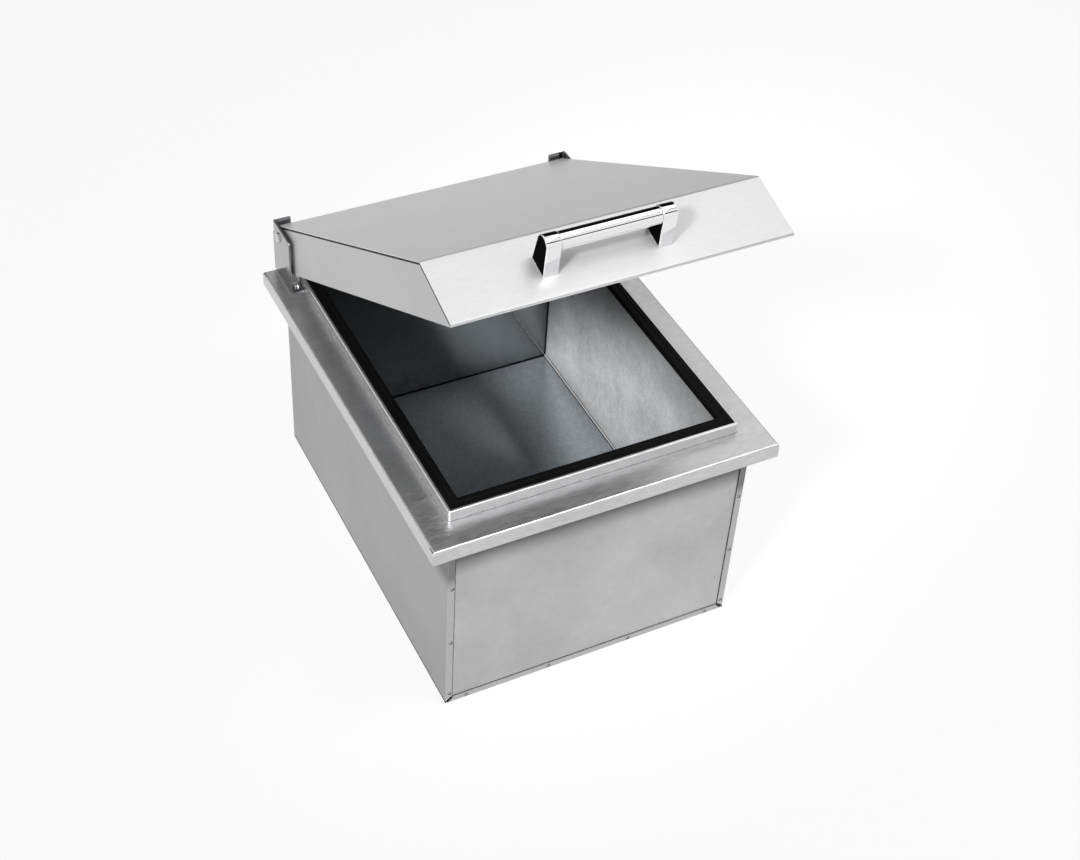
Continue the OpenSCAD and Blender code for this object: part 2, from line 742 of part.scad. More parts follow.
module lid_liner() {
    color("#aeb1b3") opened() union() {
        slab(liner_w, liner_d, liner_t, liner_y, lid_z);
        frame_wall(liner_w, liner_d, liner_up, liner_y, lid_z, liner_t);
    }
}

// Insulation inside the lid, cleared round the liner's upstand, the pivots and the screws
module lid_insulation() {
    foam_in = lid_sheet + board_gap;
    color("#e8dfb8") opened() difference() {
        across(lid_w - 2 * foam_in) bent_outline(inset(lid_profile, foam_in),
            [for (r = lid_radii) max(r - lid_sheet, 0)]);
        frame_wall(liner_w + 2 * board_gap, liner_d + 2 * board_gap, liner_up + board_gap + eps, liner_y,
            lid_z - eps, liner_t + 2 * board_gap);
        on_pivot(pivot_reach - nut_t - 4) cylinder(r = pocket_r, h = lid_side);
        on_slope() for (s = [-1, 1])
            translate([handle_x + s * post_x, -post_screw_t, -lid_sheet - head_h - 3])
                cylinder(r = head_r + 2, h = head_h + 4);
    }
}

// Point where a line from p touches the circle at c, on its right as seen from p
function tangent_point(p, c, r) =
    let (d = norm(c - p), turn = asin(r / d), dir = unit(c - p), run = sqrt(d * d - r * r))
    p + run * [dir[0] * cos(turn) + dir[1] * sin(turn), dir[1] * cos(turn) - dir[0] * sin(turn)];

// Wedge-shaped post: upright at the back, flared at the toe, round over the bar
module handle_post(side) {
    centre = [-bar_t, bar_n];
    toe = [-bar_t - post_toe, 0];
    touch = tangent_point([-toe[0], toe[1]], [bar_t, bar_n], post_head_r);
    color("#d9dadb") opened() on_slope() translate([handle_x + side * post_x, 0, 0]) difference() {
        across(post_w) union() {
            translate(centre) circle(post_head_r);
            polygon([toe, [-bar_t + post_head_r, 0], [-bar_t + post_head_r, bar_n], centre,
                [-touch[0], touch[1]]]);
        }
        translate([-side * (post_w / 2 - socket_d), centre[0], centre[1]]) rotate([0, -side * 90, 0])
            cylinder(r = bar_r + socket_clear, h = socket_d + eps);
        translate([0, -post_screw_t, -eps]) cylinder(r = screw_r + screw_clear, h = post_screw_d + eps);
    }
}

module left_handle_post() {
    handle_post(-1);
}

module right_handle_post() {
    handle_post(1);
}

module handle_bar() {
    bar_len = handle_len - 2 * (post_w - socket_d);
    color("#e2e3e4") opened() on_slope() translate([handle_x - bar_len / 2, -bar_t, bar_n])
        rotate([0, 90, 0]) cylinder(r = bar_r, h = bar_len);
}

// Screws from inside the lid into the posts
module handle_screws() {
    color("#c4c5c6") opened() on_slope() for (s = [-1, 1])
        translate([handle_x + s * post_x, -post_screw_t, -lid_sheet]) rotate([180, 0, 0])
            pan_screw(post_screw_d + lid_sheet - 1);
}

top_deck();
deck_collar();
lid_gasket();
inner_tub();
left_tub_wall();
right_tub_wall();
front_insulation();
back_insulation();
left_insulation();
right_insulation();
floor_insulation();
left_side_panel();
right_side_panel();
front_panel();
back_panel();
bottom_pan();
drain_fitting();
drain_strainer();
drain_seal();
drain_locknut();
left_hinge_bracket();
right_hinge_bracket();
bracket_screws();
pivot_screws();
pivot_washers();
pivot_nuts();
pivot_bushes();
lid_skin();
left_lid_cheek();
right_lid_cheek();
lid_liner();
lid_insulation();
handle_bar();
left_handle_post();
right_handle_post();
handle_screws();
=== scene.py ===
"""Looks of a drop-in cooler: brushed and folded steel, black gasket, chrome handle, soft studio.

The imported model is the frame. Its nodes keep their meshes and get procedural finishes here, and the
pieces that need rounded, smooth or textured forms are worked out as surfaces with numpy.
"""

import logging
import math
from collections.abc import Sequence
from dataclasses import dataclass, field
from enum import Enum

import bpy
import numpy as np
from mathutils import Matrix, Vector

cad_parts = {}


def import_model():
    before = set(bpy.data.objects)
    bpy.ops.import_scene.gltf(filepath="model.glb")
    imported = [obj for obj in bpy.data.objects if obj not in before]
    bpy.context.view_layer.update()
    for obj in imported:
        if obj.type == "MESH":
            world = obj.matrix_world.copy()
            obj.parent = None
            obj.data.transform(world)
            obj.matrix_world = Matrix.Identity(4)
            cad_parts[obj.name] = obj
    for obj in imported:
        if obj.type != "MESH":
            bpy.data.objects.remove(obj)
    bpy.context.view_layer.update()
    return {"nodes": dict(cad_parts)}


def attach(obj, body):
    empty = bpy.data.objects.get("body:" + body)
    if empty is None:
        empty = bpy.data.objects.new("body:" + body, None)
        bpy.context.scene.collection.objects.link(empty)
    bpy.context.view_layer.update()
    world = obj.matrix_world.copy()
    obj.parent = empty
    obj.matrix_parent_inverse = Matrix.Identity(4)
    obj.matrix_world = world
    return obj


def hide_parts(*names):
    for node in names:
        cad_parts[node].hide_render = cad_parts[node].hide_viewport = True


logging.basicConfig(level=logging.INFO, format="%(message)s")
LOG = logging.getLogger("cooler")

Colour = tuple[float, float, float]
Point = tuple[float, float, float]
Array = np.ndarray
MM = 0.001

# Tints of marks.
BLACK = (0.004, 0.004, 0.004)
DECK_SHADE = (0.035, 0.033, 0.031)
TUB_RIM_SHADE = (0.05, 0.05, 0.05)
# Painted shade towards the tub's inner corners.
CORNER_SHADE = (0.06, 0.065, 0.07)
# Painted shade along the lid's top bend.
BEND_SHADE = (0.12, 0.12, 0.12)
HEM_LINE = (0.2, 0.2, 0.2)
# Painted shade over the lid's top face.
TOP_SHADE = (0.30, 0.30, 0.30)
# Painted highlight along the tub's corner beads.
BEAD_HIGHLIGHT = (0.72, 0.72, 0.73)
# Painted highlight on the lid's hem.
HEM_HIGHLIGHT = (0.92, 0.92, 0.92)

# Slopes of masks per metre: the first goes from 0 to 1 over a quarter of a millimetre.
SHARP, CLEAR, FIRM, EVEN, SOFT, FAINT = 4000.0, 3000.0, 2500.0, 2000.0, 1200.0, 600.0


class Body(Enum):
    """The two bodies that pieces ride on."""

    COOLER = "cooler"
    LID = "lid"


class Grain(Enum):
    """Direction of a sheet's brushing, as stretch factors per metre along X, Y and Z."""

    ALONG_X = (70.0, 1500.0, 1500.0)
    SHORT_X = (80.0, 620.0, 620.0)
    ALONG_Y = (1500.0, 70.0, 1500.0)
    NONE = (900.0, 900.0, 900.0)
    COARSE = (400.0, 400.0, 400.0)


class Effect(Enum):
    """The shader groups that finishes share."""

    BRUSHING = "brushing"
    CLOUDING = "clouding"
    SCUFFS = "scuffs"
    RELIEF = "relief"
    CREASES = "creases"
    EDGES = "edges"
    LID_LINES = "lid_lines"
    SLITS = "slits"


# ---------------------------------------------------------------- node helpers


class Wire:
    """A value in a node tree, which takes part in sums as a number does."""

    def __init__(self, bench: "NodeBench", socket: bpy.types.NodeSocket) -> None:
        """Keep the output socket that gives the value, and the bench of its tree."""
        self.bench = bench
        self.socket = socket

    def __add__(self, other: "Wire | float") -> "Wire":
        """Add a wire or a number."""
        return self.bench.maths("ADD", self, other)

    def __sub__(self, other: "Wire | float") -> "Wire":
        """Take a wire or a number away."""
        return self.bench.maths("SUBTRACT", self, other)

    def __rsub__(self, other: float) -> "Wire":
        """Take this wire away from a number."""
        return self.bench.maths("SUBTRACT", other, self)

    def __mul__(self, other: "Wire | float") -> "Wire":
        """Multiply by a wire or a number."""
        return self.bench.maths("MULTIPLY", self, other)

    def __truediv__(self, other: "Wire | float") -> "Wire":
        """Divide by a wire or a number."""
        return self.bench.maths("DIVIDE", self, other)

    def __pow__(self, other: float) -> "Wire":
        """Raise to a power."""
        return self.bench.maths("POWER", self, other)

    def __abs__(self) -> "Wire":
        """Drop the sign."""
        return self.bench.maths("ABSOLUTE", self)

    def least(self, other: "Wire") -> "Wire":
        """Give the smaller of two wires."""
        return self.bench.maths("MINIMUM", self, other)

    def most(self, other: "Wire") -> "Wire":
        """Give the larger of two wires."""
        return self.bench.maths("MAXIMUM", self, other)

    def clamped(self) -> "Wire":
        """Keep the value between 0 and 1."""
        return self.bench.maths("ADD", self, 0.0, clamp=True)

    def under(self, edge: "Wire | float", sharpness: float) -> "Wire":
        """Give a mask: the edge less the value, times the sharpness, between 0 and 1."""
        return (self.bench.maths("SUBTRACT", edge, self) * sharpness).clamped()

    def over(self, edge: "Wire | float", sharpness: float) -> "Wire":
        """Give a mask: the value less the edge, times the sharpness, between 0 and 1."""
        return ((self - edge) * sharpness).clamped()


class NodeBench:
    """Adds and links nodes of one tree with short calls."""

    def __init__(self, tree: bpy.types.NodeTree) -> None:
        """Keep the tree that nodes are added to, of a material, a world or a group."""
        self.tree = tree

    def add(self, kind: str, **values: object) -> bpy.types.Node:
        """Add a node and set its properties.

        Args:
            kind: Blender's type name of the node.
            **values: Properties by name.

        Returns:
            The new node.
        """
        node = self.tree.nodes.new(kind)
        for name, value in values.items():
            setattr(node, name, value)
        return node

    def feed(self, socket: bpy.types.NodeSocket, value: object) -> None:
        """Link a socket, or set its value.

        Args:
            socket: Input socket to fill.
            value: A wire, an output socket, a number or a tuple.
        """
        value = value.socket if isinstance(value, Wire) else value
        if isinstance(value, bpy.types.NodeSocket):
            self.tree.links.new(value, socket)
        else:
            socket.default_value = value

    def maths(self, operation: str, a: object, b: object = 0.0, clamp: bool = False) -> Wire:
        """Add a Math node.

        Args:
            operation: Name of the operation.
            a: First number or wire.
            b: Second number or wire.
            clamp: Keep the result between 0 and 1.

        Returns:
            The result.
        """
        node = self.add("ShaderNodeMath", operation=operation, use_clamp=clamp)
        self.feed(node.inputs[0], a)
        self.feed(node.inputs[1], b)
        return Wire(self, node.outputs[0])

    def place(self) -> bpy.types.NodeSocket:
        """Give the point of the surface, in the object's own coordinates."""
        return self.add("ShaderNodeTexCoord").outputs["Object"]

    def axes(self, vector: bpy.types.NodeSocket | None = None) -> tuple[Wire, ...]:
        """Split a vector into its parts.

        Args:
            vector: The vector; the point of the surface where none is given.

        Returns:
            Its parts along X, Y and Z.
        """
        split = self.add("ShaderNodeSeparateXYZ")
        self.feed(split.inputs[0], self.place() if vector is None else vector)
        return tuple(Wire(self, socket) for socket in split.outputs)

    def seen(self) -> Wire:
        """Give 1 for rays of the camera, of reflections and of clear materials, and 0 for rays that light."""
        path = self.add("ShaderNodeLightPath")
        camera, glossy, clear = (Wire(self, path.outputs[f"Is {kind} Ray"])
                                 for kind in ("Camera", "Glossy", "Transmission"))
        return camera.most(glossy.most(clear))

    def remap(self, value: object, low: float, high: float, to_low: float = 0.0, to_high: float = 1.0) -> Wire:
        """Map a value from one span to another, smoothly and clamped.

        Args:
            value: Number or wire.
            low: Start of the span.
            high: End of the span.
            to_low: Result at the start.
            to_high: Result at the end.

        Returns:
            The result.
        """
        node = self.add("ShaderNodeMapRange", interpolation_type="SMOOTHSTEP", clamp=True)
        for socket, number in zip(node.inputs[:5], (value, low, high, to_low, to_high)):
            self.feed(socket, number)
        return Wire(self, node.outputs[0])

    def noise(self, vector: object, scale: object, detail: float, rough: float = 0.55) -> Wire:
        """Add a noise texture.

        Args:
            vector: Coordinates.
            scale: Size of the pattern.
            detail: Octaves.
            rough: Share of the finer octaves.

        Returns:
            The noise's value.
        """
        node = self.add("ShaderNodeTexNoise")
        for label, value in (("Vector", vector), ("Scale", scale), ("Detail", detail), ("Roughness", rough)):
            self.feed(node.inputs[label], value)
        return Wire(self, node.outputs["Fac"])

    def blend(self, factor: object, a: object, b: object) -> Wire:
        """Mix two colours.

        Args:
            factor: Share of the second colour.
            a: First colour or wire.
            b: Second colour or wire.

        Returns:
            The mixed colour.
        """
        node = self.add("ShaderNodeMix", data_type="RGBA")
        self.feed(node.inputs["Factor"], factor)
        for socket, colour in ((node.inputs["A"], a), (node.inputs["B"], b)):
            self.feed(socket, (*colour, 1.0) if isinstance(colour, tuple) else colour)
        return Wire(self, node.outputs["Result"])

    def use(self, group: bpy.types.NodeTree, values: dict[str, object], name: str = "") -> dict[str, Wire]:
        """Add a node group.

        Args:
            group: Tree of the group.
            values: Numbers or wires by input name.
            name: Name of the node; Blender's own where none is given.

        Returns:
            The outputs by name.
        """
        node = self.add("ShaderNodeGroup", node_tree=group)
        node.name = name or node.name
        for label, value in values.items():
            self.feed(node.inputs[label], value)
        return {socket.name: Wire(self, socket) for socket in node.outputs}


class GroupBench(NodeBench):
    """Bench of a shader node group with named inputs and outputs."""

    def __init__(self, effect: Effect, inputs: dict[str, float | Point], outputs: tuple[str, ...]) -> None:
        """Make the group and its sockets; a tuple makes a vector, and so does the name Normal.

        Args:
            effect: The group's place among the shared effects.
            inputs: Default value by input name.
            outputs: Names of the outputs.
        """
        super().__init__(bpy.data.node_groups.new(effect.value, "ShaderNodeTree"))
        for label, value in inputs.items():
            kind = "NodeSocketVector" if isinstance(value, tuple) else "NodeSocketFloat"
            self.tree.interface.new_socket(label, in_out="INPUT", socket_type=kind).default_value = value
        for label in outputs:
            kind = "NodeSocketVector" if label == "Normal" else "NodeSocketFloat"
            self.tree.interface.new_socket(label, in_out="OUTPUT", socket_type=kind)
        self.start, self.end = self.add("NodeGroupInput"), self.add("NodeGroupOutput")

    def take(self, label: str) -> Wire:
        """Give one of the group's inputs."""
        return Wire(self, self.start.outputs[label])

    def give(self, label: str, value: object) -> None:
        """Link a value to one of the group's outputs."""
        self.feed(self.end.inputs[label], value)


def empty_tree(owner: bpy.types.Material | bpy.types.World) -> bpy.types.NodeTree:
    """Clear the node tree of a material or a world.

    Args:
        owner: The material or the world.

    Returns:
        Its empty tree.
    """
    owner.use_nodes = True
    owner.node_tree.nodes.clear()
    return owner.node_tree


# ---------------------------------------------------------------- shared effects


@dataclass(frozen=True)
class LidPose:
    """Place of the lid: its shapes are worked out closed, then turned open about the pivot."""

    pivot_y: float = 214.5
    pivot_z: float = 304.5
    open_deg: float = 30.0
    edge_y: float = -214.0
    top_z: float = 316.0
    slope_h: float = 53.0
    slope_d: float = 50.5

    @property
    def slope(self) -> float:
        """Angle of the front slope below the level of the top, in radians."""
        return math.atan2(self.slope_h, self.slope_d)

    def opened(self, points: Array) -> Array:
        """Turn points of the closed lid to its place at rest.

        Args:
            points: Points in millimetres, one per row.

        Returns:
            The turned points.
        """
        angle = math.radians(self.open_deg)
        y, z = points[:, 1] - self.pivot_y, points[:, 2] - self.pivot_z
        return np.stack([points[:, 0], self.pivot_y + y * math.cos(angle) + z * math.sin(angle),
                         self.pivot_z - y * math.sin(angle) + z * math.cos(angle)], axis=1)

    def off_slope(self, x: Array, t: Array, n: Array) -> Array:
        """Place points given on the slope: t runs up the slope, n stands off it.

        Args:
            x: Positions across the lid.
            t: Positions along the slope.
            n: Heights off the slope.

        Returns:
            Points of the opened lid, in millimetres.
        """
        rise, run = math.sin(self.slope), math.cos(self.slope)
        return self.opened(np.stack([x, self.edge_y + t * run - n * rise, self.top_z + t * rise + n * run], axis=1))


class SurfaceEffects:
    """Shader groups that several finishes share."""

    def __init__(self) -> None:
        """Build every group once."""
        self.trees = {
            Effect.BRUSHING: self._brushing(), Effect.CLOUDING: self._clouding(), Effect.SCUFFS: self._scuffs(),
            Effect.RELIEF: self._relief(), Effect.CREASES: self._creases(), Effect.EDGES: self._edges(),
            Effect.LID_LINES: self._lid_lines(), Effect.SLITS: self._slits()}

    def _tone(self, bench: GroupBench, major: Wire, minor: Wire, share: float) -> Wire:
        """Add two noises and set their contrast about the middle grey.

        Args:
            bench: Bench of a group with the input Contrast.
            major: Leading noise.
            minor: Second noise.
            share: Share of the second noise.

        Returns:
            The tone, between 0 and 1.
        """
        both = major * (1.0 - share) + minor * share
        return ((both - 0.5) * bench.take("Contrast") + 0.5).clamped()

    def _brushing(self) -> bpy.types.NodeTree:
        """Fine parallel lines: noise on coordinates that are squeezed across the brushing.

        Returns:
            The node group.
        """
        bench = GroupBench(Effect.BRUSHING, {"Stretch": Grain.ALONG_X.value, "Contrast": 1.0}, ("Tone", "Height"))
        squeeze = bench.add("ShaderNodeVectorMath", operation="MULTIPLY")
        bench.feed(squeeze.inputs[0], bench.place())
        bench.feed(squeeze.inputs[1], bench.take("Stretch"))
        lines = bench.noise(squeeze.outputs[0], 1.0, detail=2.0, rough=0.6)
        wide = bench.noise(squeeze.outputs[0], 0.23, detail=3.0, rough=0.6)
        bench.give("Tone", self._tone(bench, lines, wide, 0.25))
        bench.give("Height", lines)
        return bench.tree

    def _clouding(self) -> bpy.types.NodeTree:
        """Soft uneven tone of rolled sheet: two broad noises added.

        Returns:
            The node group.
        """
        bench = GroupBench(Effect.CLOUDING, {"Scale": 12.0, "Contrast": 1.0}, ("Tone",))
        broad = bench.noise(bench.place(), bench.take("Scale"), detail=3.0, rough=0.5)
        fine = bench.noise(bench.place(), bench.take("Scale") * 9.0, detail=4.0, rough=0.6)
        bench.give("Tone", self._tone(bench, broad, fine, 0.3))
        return bench.tree

    def _scuffs(self) -> bpy.types.NodeTree:
        """Sparse short handling marks: the peaks of a noise stretched on a slant.

        Returns:
            The node group.
        """
        bench = GroupBench(Effect.SCUFFS, {"Density": 0.3, "Scale": 60.0}, ("Mask",))
        slant = bench.add("ShaderNodeMapping")
        for label, value in (("Vector", bench.place()), ("Rotation", (0.5, 0.3, 0.7)), ("Scale", (0.6, 9.0, 9.0))):
            bench.feed(slant.inputs[label], value)
        peaks = bench.remap(bench.noise(slant.outputs[0], bench.take("Scale"), detail=2.0, rough=0.5), 0.66, 0.74)
        here = bench.remap(bench.noise(bench.place(), 14.0, detail=1.0, rough=0.5), 0.48, 0.62)
        bench.give("Mask", peaks * here * bench.take("Density"))
        return bench.tree

    def _relief(self) -> bpy.types.NodeTree:
        """Two bumps in a row: broad ripples of thin sheet, then the finish's own fine height.

        Returns:
            The node group.
        """
        bench = GroupBench(Effect.RELIEF, {"Height": 0.5, "Strength": 0.1, "Ripple Scale": 9.0, "Ripple": 0.2},
                           ("Normal",))
        ripples = bench.noise(bench.place(), bench.take("Ripple Scale"), detail=1.5, rough=0.45)
        broad, fine = bench.add("ShaderNodeBump"), bench.add("ShaderNodeBump")
        for bump, distance, strength, height in ((broad, 0.004, "Ripple", ripples),
                                                 (fine, 0.0002, "Strength", bench.take("Height"))):
            bench.feed(bump.inputs["Distance"], distance)
            bench.feed(bump.inputs["Strength"], bench.take(strength))
            bench.feed(bump.inputs["Height"], height)
        bench.feed(fine.inputs["Normal"], broad.outputs["Normal"])
        bench.give("Normal", fine.outputs["Normal"])
        return bench.tree

    def _creases(self) -> bpy.types.NodeTree:
        """Marks along the inner corners of the tub.

        The distance to a corner line is the larger of the distances to its two planes. Lines at the
        ends are dark: joints where they meet the side walls, and painted shade along the floor's bends.
        Along the sides a painted highlight stands for the bead in the corner, with a line of painted shade
        beside it. Painted shade also darkens the tub towards its corners and below its rim.

        Returns:
            The node group.
        """
        bench = GroupBench(Effect.CREASES, {
            "Half Width": 0.1, "Half Depth": 0.1, "Middle": 0.0, "Floor": 0.0, "Bead": 0.0016, "Line Width": 0.0015,
            "Reach": 0.03, "Top": 0.258, "Top Reach": 0.08}, ("Line", "Bead Mask", "Shade", "Top Shade", "Wall"))
        x, y, z = bench.axes()
        bead = bench.take("Bead")
        side = bench.take("Half Width") - abs(x)
        ends = bench.take("Half Depth") - abs(y - bench.take("Middle"))
        deep = z - bench.take("Floor")
        along, across = side.most(deep), ends.most(side.least(deep))
        # End lines: dark joints at the side walls, painted shade along the floor's bends; the side line is painted
        # shade beside the bead.
        end_line = (across / bench.take("Line Width")).under(1.3, 3.0)
        side_line = (abs(along - bead * 1.2) / bead).under(0.7, 3.0)
        bench.give("Line", end_line.most(side_line * 0.75))
        # Painted highlight along the bead.
        bench.give("Bead Mask", along.under(bead * 0.75, SHARP))
        # Shade and Top Shade: painted shade towards the inner corners and below the rim.
        bench.give("Shade", (1.0 - along.least(across) / bench.take("Reach")).clamped() ** 1.7)
        bench.give("Top Shade", (1.0 - (bench.take("Top") - z) / bench.take("Top Reach")).clamped() ** 1.3)
        bench.give("Wall", deep.over(0.0004, SHARP))
        return bench.tree

    def _edges(self) -> bpy.types.NodeTree:
        """Marks on the casing: painted shade in the seam beside the flanges, painted shade under the deck, flanges,
        painted shade in the open mitres.

        Returns:
            The node group.
        """
        bench = GroupBench(Effect.EDGES, {
            "Half Width": 0.1595, "Low": 0.007, "Seam": 0.0013, "High": 0.2335, "Fade": 0.035, "Hold": 0.015,
            "Middle": 0.0055, "Flange Depth": 0.2193, "Mitre Gap": 0.0027}, ("Line", "Shade", "Flange", "Mitre"))
        x, y, z = bench.axes()
        side, rise = bench.take("Half Width") - abs(x), z - bench.take("Low")
        # The seam's line is painted shade, broken up by noise.
        patchy = bench.remap(bench.noise(bench.place(), 420.0, detail=1.0), 0.42, 0.56, 0.7, 1.0)
        bench.give("Line", side.least(rise).under(bench.take("Seam"), CLEAR) * patchy)
        # Mitre: painted shade along the open mitre gap.
        slit = abs(rise - side).under(bench.take("Mitre Gap"), CLEAR)
        bench.give("Mitre", slit * side.most(rise).under(0.0012, EVEN))
        fall = (bench.take("High") - z - bench.take("Hold")) / bench.take("Fade")
        bench.give("Shade", (1.0 - fall.clamped()) ** 1.2)
        bench.give("Flange", abs(y - bench.take("Middle")).over(bench.take("Flange Depth"), FAINT))
        return bench.tree

    def _lid_lines(self) -> bpy.types.NodeTree:
        """Lines along the lid's joints and bends.

        Object coordinates are turned back to the closed lid about the hinge. The distances to the top,
        the slope and the back then give the joint between cheek and skin, a line of painted shade along the
        slope's top bend, a painted highlight on its hem, and painted shade over the whole top face.

        Returns:
            The node group.
        """
        bench = GroupBench(Effect.LID_LINES, {"Inner": 0.0009, "Outer": 0.0033},
                           ("Joint", "Bend", "Hem", "Hem Line", "Top"))
        pose = LidPose()
        turn, slope = math.radians(pose.open_deg), pose.slope
        _, y, z = bench.axes()
        y, z = y - pose.pivot_y * MM, z - pose.pivot_z * MM
        from_edge = y * math.cos(turn) - z * math.sin(turn) + (pose.pivot_y - pose.edge_y) * MM
        below = (pose.top_z - pose.pivot_z) * MM - (y * math.sin(turn) + z * math.cos(turn))
        in_slope = from_edge * math.sin(slope) + below * math.cos(slope)
        down_slope = below * math.sin(slope) - from_edge * math.cos(slope)
        near = below.least(in_slope)
        left = math.hypot(pose.slope_h, pose.slope_d) * MM - down_slope
        # Top: the whole outer top face, which takes a painted shade.
        bench.give("Top", below.under(0.0009, SHARP))
        bench.give("Joint", near.over(bench.take("Inner"), SHARP) * near.under(bench.take("Outer"), SHARP))
        # Bend: a line of painted shade along the slope's top bend.
        bench.give("Bend", (abs(down_slope) + abs(below)).under(0.0021, SOFT))
        # Hem: a painted highlight on the rounded hem.
        bench.give("Hem", left.under(0.0026, FIRM))
        bench.give("Hem Line", abs(left - 0.0034).under(0.0008, FIRM))
        return bench.tree

    def _slits(self) -> bpy.types.NodeTree:
        """Relief slits along the bends at the deck's corners.

        On a bend at 45 degrees, the height and the distance from the middle differ by a fixed amount.

        Returns:
            The node group.
        """
        bench = GroupBench(Effect.SLITS, {"Offset": 0.0595, "Width": 0.0007, "From": 0.222, "To": 0.2305}, ("Mask",))
        x, y, z = bench.axes()
        thin = abs(abs(x) - z + bench.take("Offset")).under(bench.take("Width"), SHARP)
        bench.give("Mask", thin * abs(y).over(bench.take("From"), SHARP) * abs(y).under(bench.take("To"), SHARP))
        return bench.tree


class PaintBench(NodeBench):
    """Bench of a material with one shader, which takes the shared effects."""

    def __init__(self, material: bpy.types.Material, effects: SurfaceEffects) -> None:
        """Clear the material and give it its shader.

        Args:
            material: The material.
            effects: The shared shader groups.
        """
        super().__init__(empty_tree(material))
        self.effects = effects
        self.shader = self.add("ShaderNodeBsdfPrincipled")
        self.feed(self.add("ShaderNodeOutputMaterial").inputs["Surface"], self.shader.outputs["BSDF"])

    def paint(self, **values: object) -> None:
        """Fill the shader's inputs, whose names are given with underscores for spaces."""
        for label, value in values.items():
            self.feed(self.shader.inputs[label.replace("_", " ")], value)

    def effect(self, effect: Effect, values: dict[str, object], name: str = "") -> dict[str, Wire]:
        """Add one of the shared effects and give its outputs by name."""
        return self.use(self.effects.trees[effect], values, name)

    def clouds(self, scale: float, contrast: float) -> Wire:
        """Give a soft uneven tone between 0 and 1."""
        return self.effect(Effect.CLOUDING, {"Scale": scale, "Contrast": contrast})["Tone"]

    def scuffed(self, rough: Wire, density: float, depth: float) -> Wire:
        """Roughen a surface: the roughness plus the depth where it is scuffed, between 0 and 1."""
        return (rough + self.effect(Effect.SCUFFS, {"Density": density})["Mask"] * depth).clamped()

    def raised(self, height: Wire, strength: float, ripple: float = 0.0) -> Wire:
        """Give the normal of a fine height on broad ripples."""
        return self.effect(Effect.RELIEF, {"Height": height, "Strength": strength, "Ripple": ripple})["Normal"]


# ---------------------------------------------------------------- marks


@dataclass(frozen=True)
class Layer:
    """One mark: where the group's mask is 1, the colour turns to the tint as far as the depth says."""

    mask: str
    depth: float
    tint: Colour


class Marks:
    """Marks on a finish, laid over its colour one after another."""

    effect: Effect

    def settings(self) -> dict[str, float]:
        """Give the values of the group's inputs by name."""
        return {}

    def layers(self) -> tuple[Layer, ...]:
        """Give the marks, the lowest first; one without depth is left out."""
        return ()

    def mark(self, bench: PaintBench, colour: Wire) -> Wire:
        """Add the marks to a colour.

        Args:
            bench: Bench of the material.
            colour: The plain colour.

        Returns:
            The marked colour.
        """
        masks = bench.effect(self.effect, self.settings(), "marks")
        for layer in self.layers():
            if layer.depth > 0:
                colour = bench.blend(masks[layer.mask] * layer.depth, colour, layer.tint)
        return colour


@dataclass(frozen=True)
class TubMarks(Marks):
    """Dark corner lines, painted highlights on the beads, painted shade in the corners and below the rim, and a
    darker tint of the end walls that is painted shade; sizes in metres.
    """

    effect = Effect.CREASES
    half_w: float = 0.146
    half_d: float = 0.18675
    middle: float = 0.00125
    floor: float = 0.054
    bead: float = 0.0016
    line: float = 0.0014
    reach: float = 0.045
    shade_depth: float = 0.45
    top_depth: float = 0.75
    # The end walls' tint darkens them against the floor of the same sheet: painted shade.
    wall_tint: float = 0.0
    wall: Colour = (0.23, 0.23, 0.23)

    def settings(self) -> dict[str, float]:
        """Give the tub's inner sizes and the widths of its marks."""
        return {"Half Width": self.half_w, "Half Depth": self.half_d, "Middle": self.middle, "Floor": self.floor,
                "Bead": self.bead, "Line Width": self.line, "Reach": self.reach}

    def layers(self) -> tuple[Layer, ...]:
        """Give the end walls' darker tint (painted shade), the painted shade in the corners, the painted shade below
        the rim, the corner lines and the beads' painted highlight.
        """
        return (Layer("Wall", self.wall_tint, self.wall), Layer("Shade", self.shade_depth, CORNER_SHADE),
                Layer("Top Shade", self.top_depth, TUB_RIM_SHADE), Layer("Line", 1.0, BLACK),
                Layer("Bead Mask", 1.0, BEAD_HIGHLIGHT))


@dataclass(frozen=True)
class CasingMarks(Marks):
    """Painted shade in the seam beside the flanges, or the flanges and painted shade in their mitres, and painted
    shade below the deck.
    """

    effect = Effect.EDGES
    hold: float = 0.016
    fade: float = 0.030
    shade_depth: float = 0.92
    seam_depth: float = 1.0
    flange_depth: float = 0.0
    flange: Colour = (0.45, 0.45, 0.45)

    def settings(self) -> dict[str, float]:
        """Give the height over which the deck's shade holds and fades."""
        return {"Hold": self.hold, "Fade": self.fade}

    def layers(self) -> tuple[Layer, ...]:
        """Give the flanges' tone, the painted shade below the deck, and the painted shade in the open mitres and in
        the seam.
        """
        return (Layer("Flange", self.flange_depth, self.flange), Layer("Shade", self.shade_depth, DECK_SHADE),
                Layer("Mitre", self.flange_depth, BLACK), Layer("Line", self.seam_depth, BLACK))


@dataclass(frozen=True)
class LidMarks(Marks):
    """Lines of the lid's joints, painted shade along its bend and over its top, and a painted highlight on its hem.
    """

    effect = Effect.LID_LINES
    joint: float = 0.0
    bend: float = 0.0
    hem: float = 0.0
    line_share: float = 0.7
    top: float = 0.0

    def layers(self) -> tuple[Layer, ...]:
        """Give the painted shade of the top face, the joint, the painted shade of the bend, the hem's line and the
        hem's painted highlight.
        """
        return (Layer("Top", self.top, TOP_SHADE), Layer("Joint", self.joint, BLACK),
                Layer("Bend", self.bend, BEND_SHADE), Layer("Hem Line", self.hem * self.line_share, HEM_LINE),
                Layer("Hem", self.hem, HEM_HIGHLIGHT))


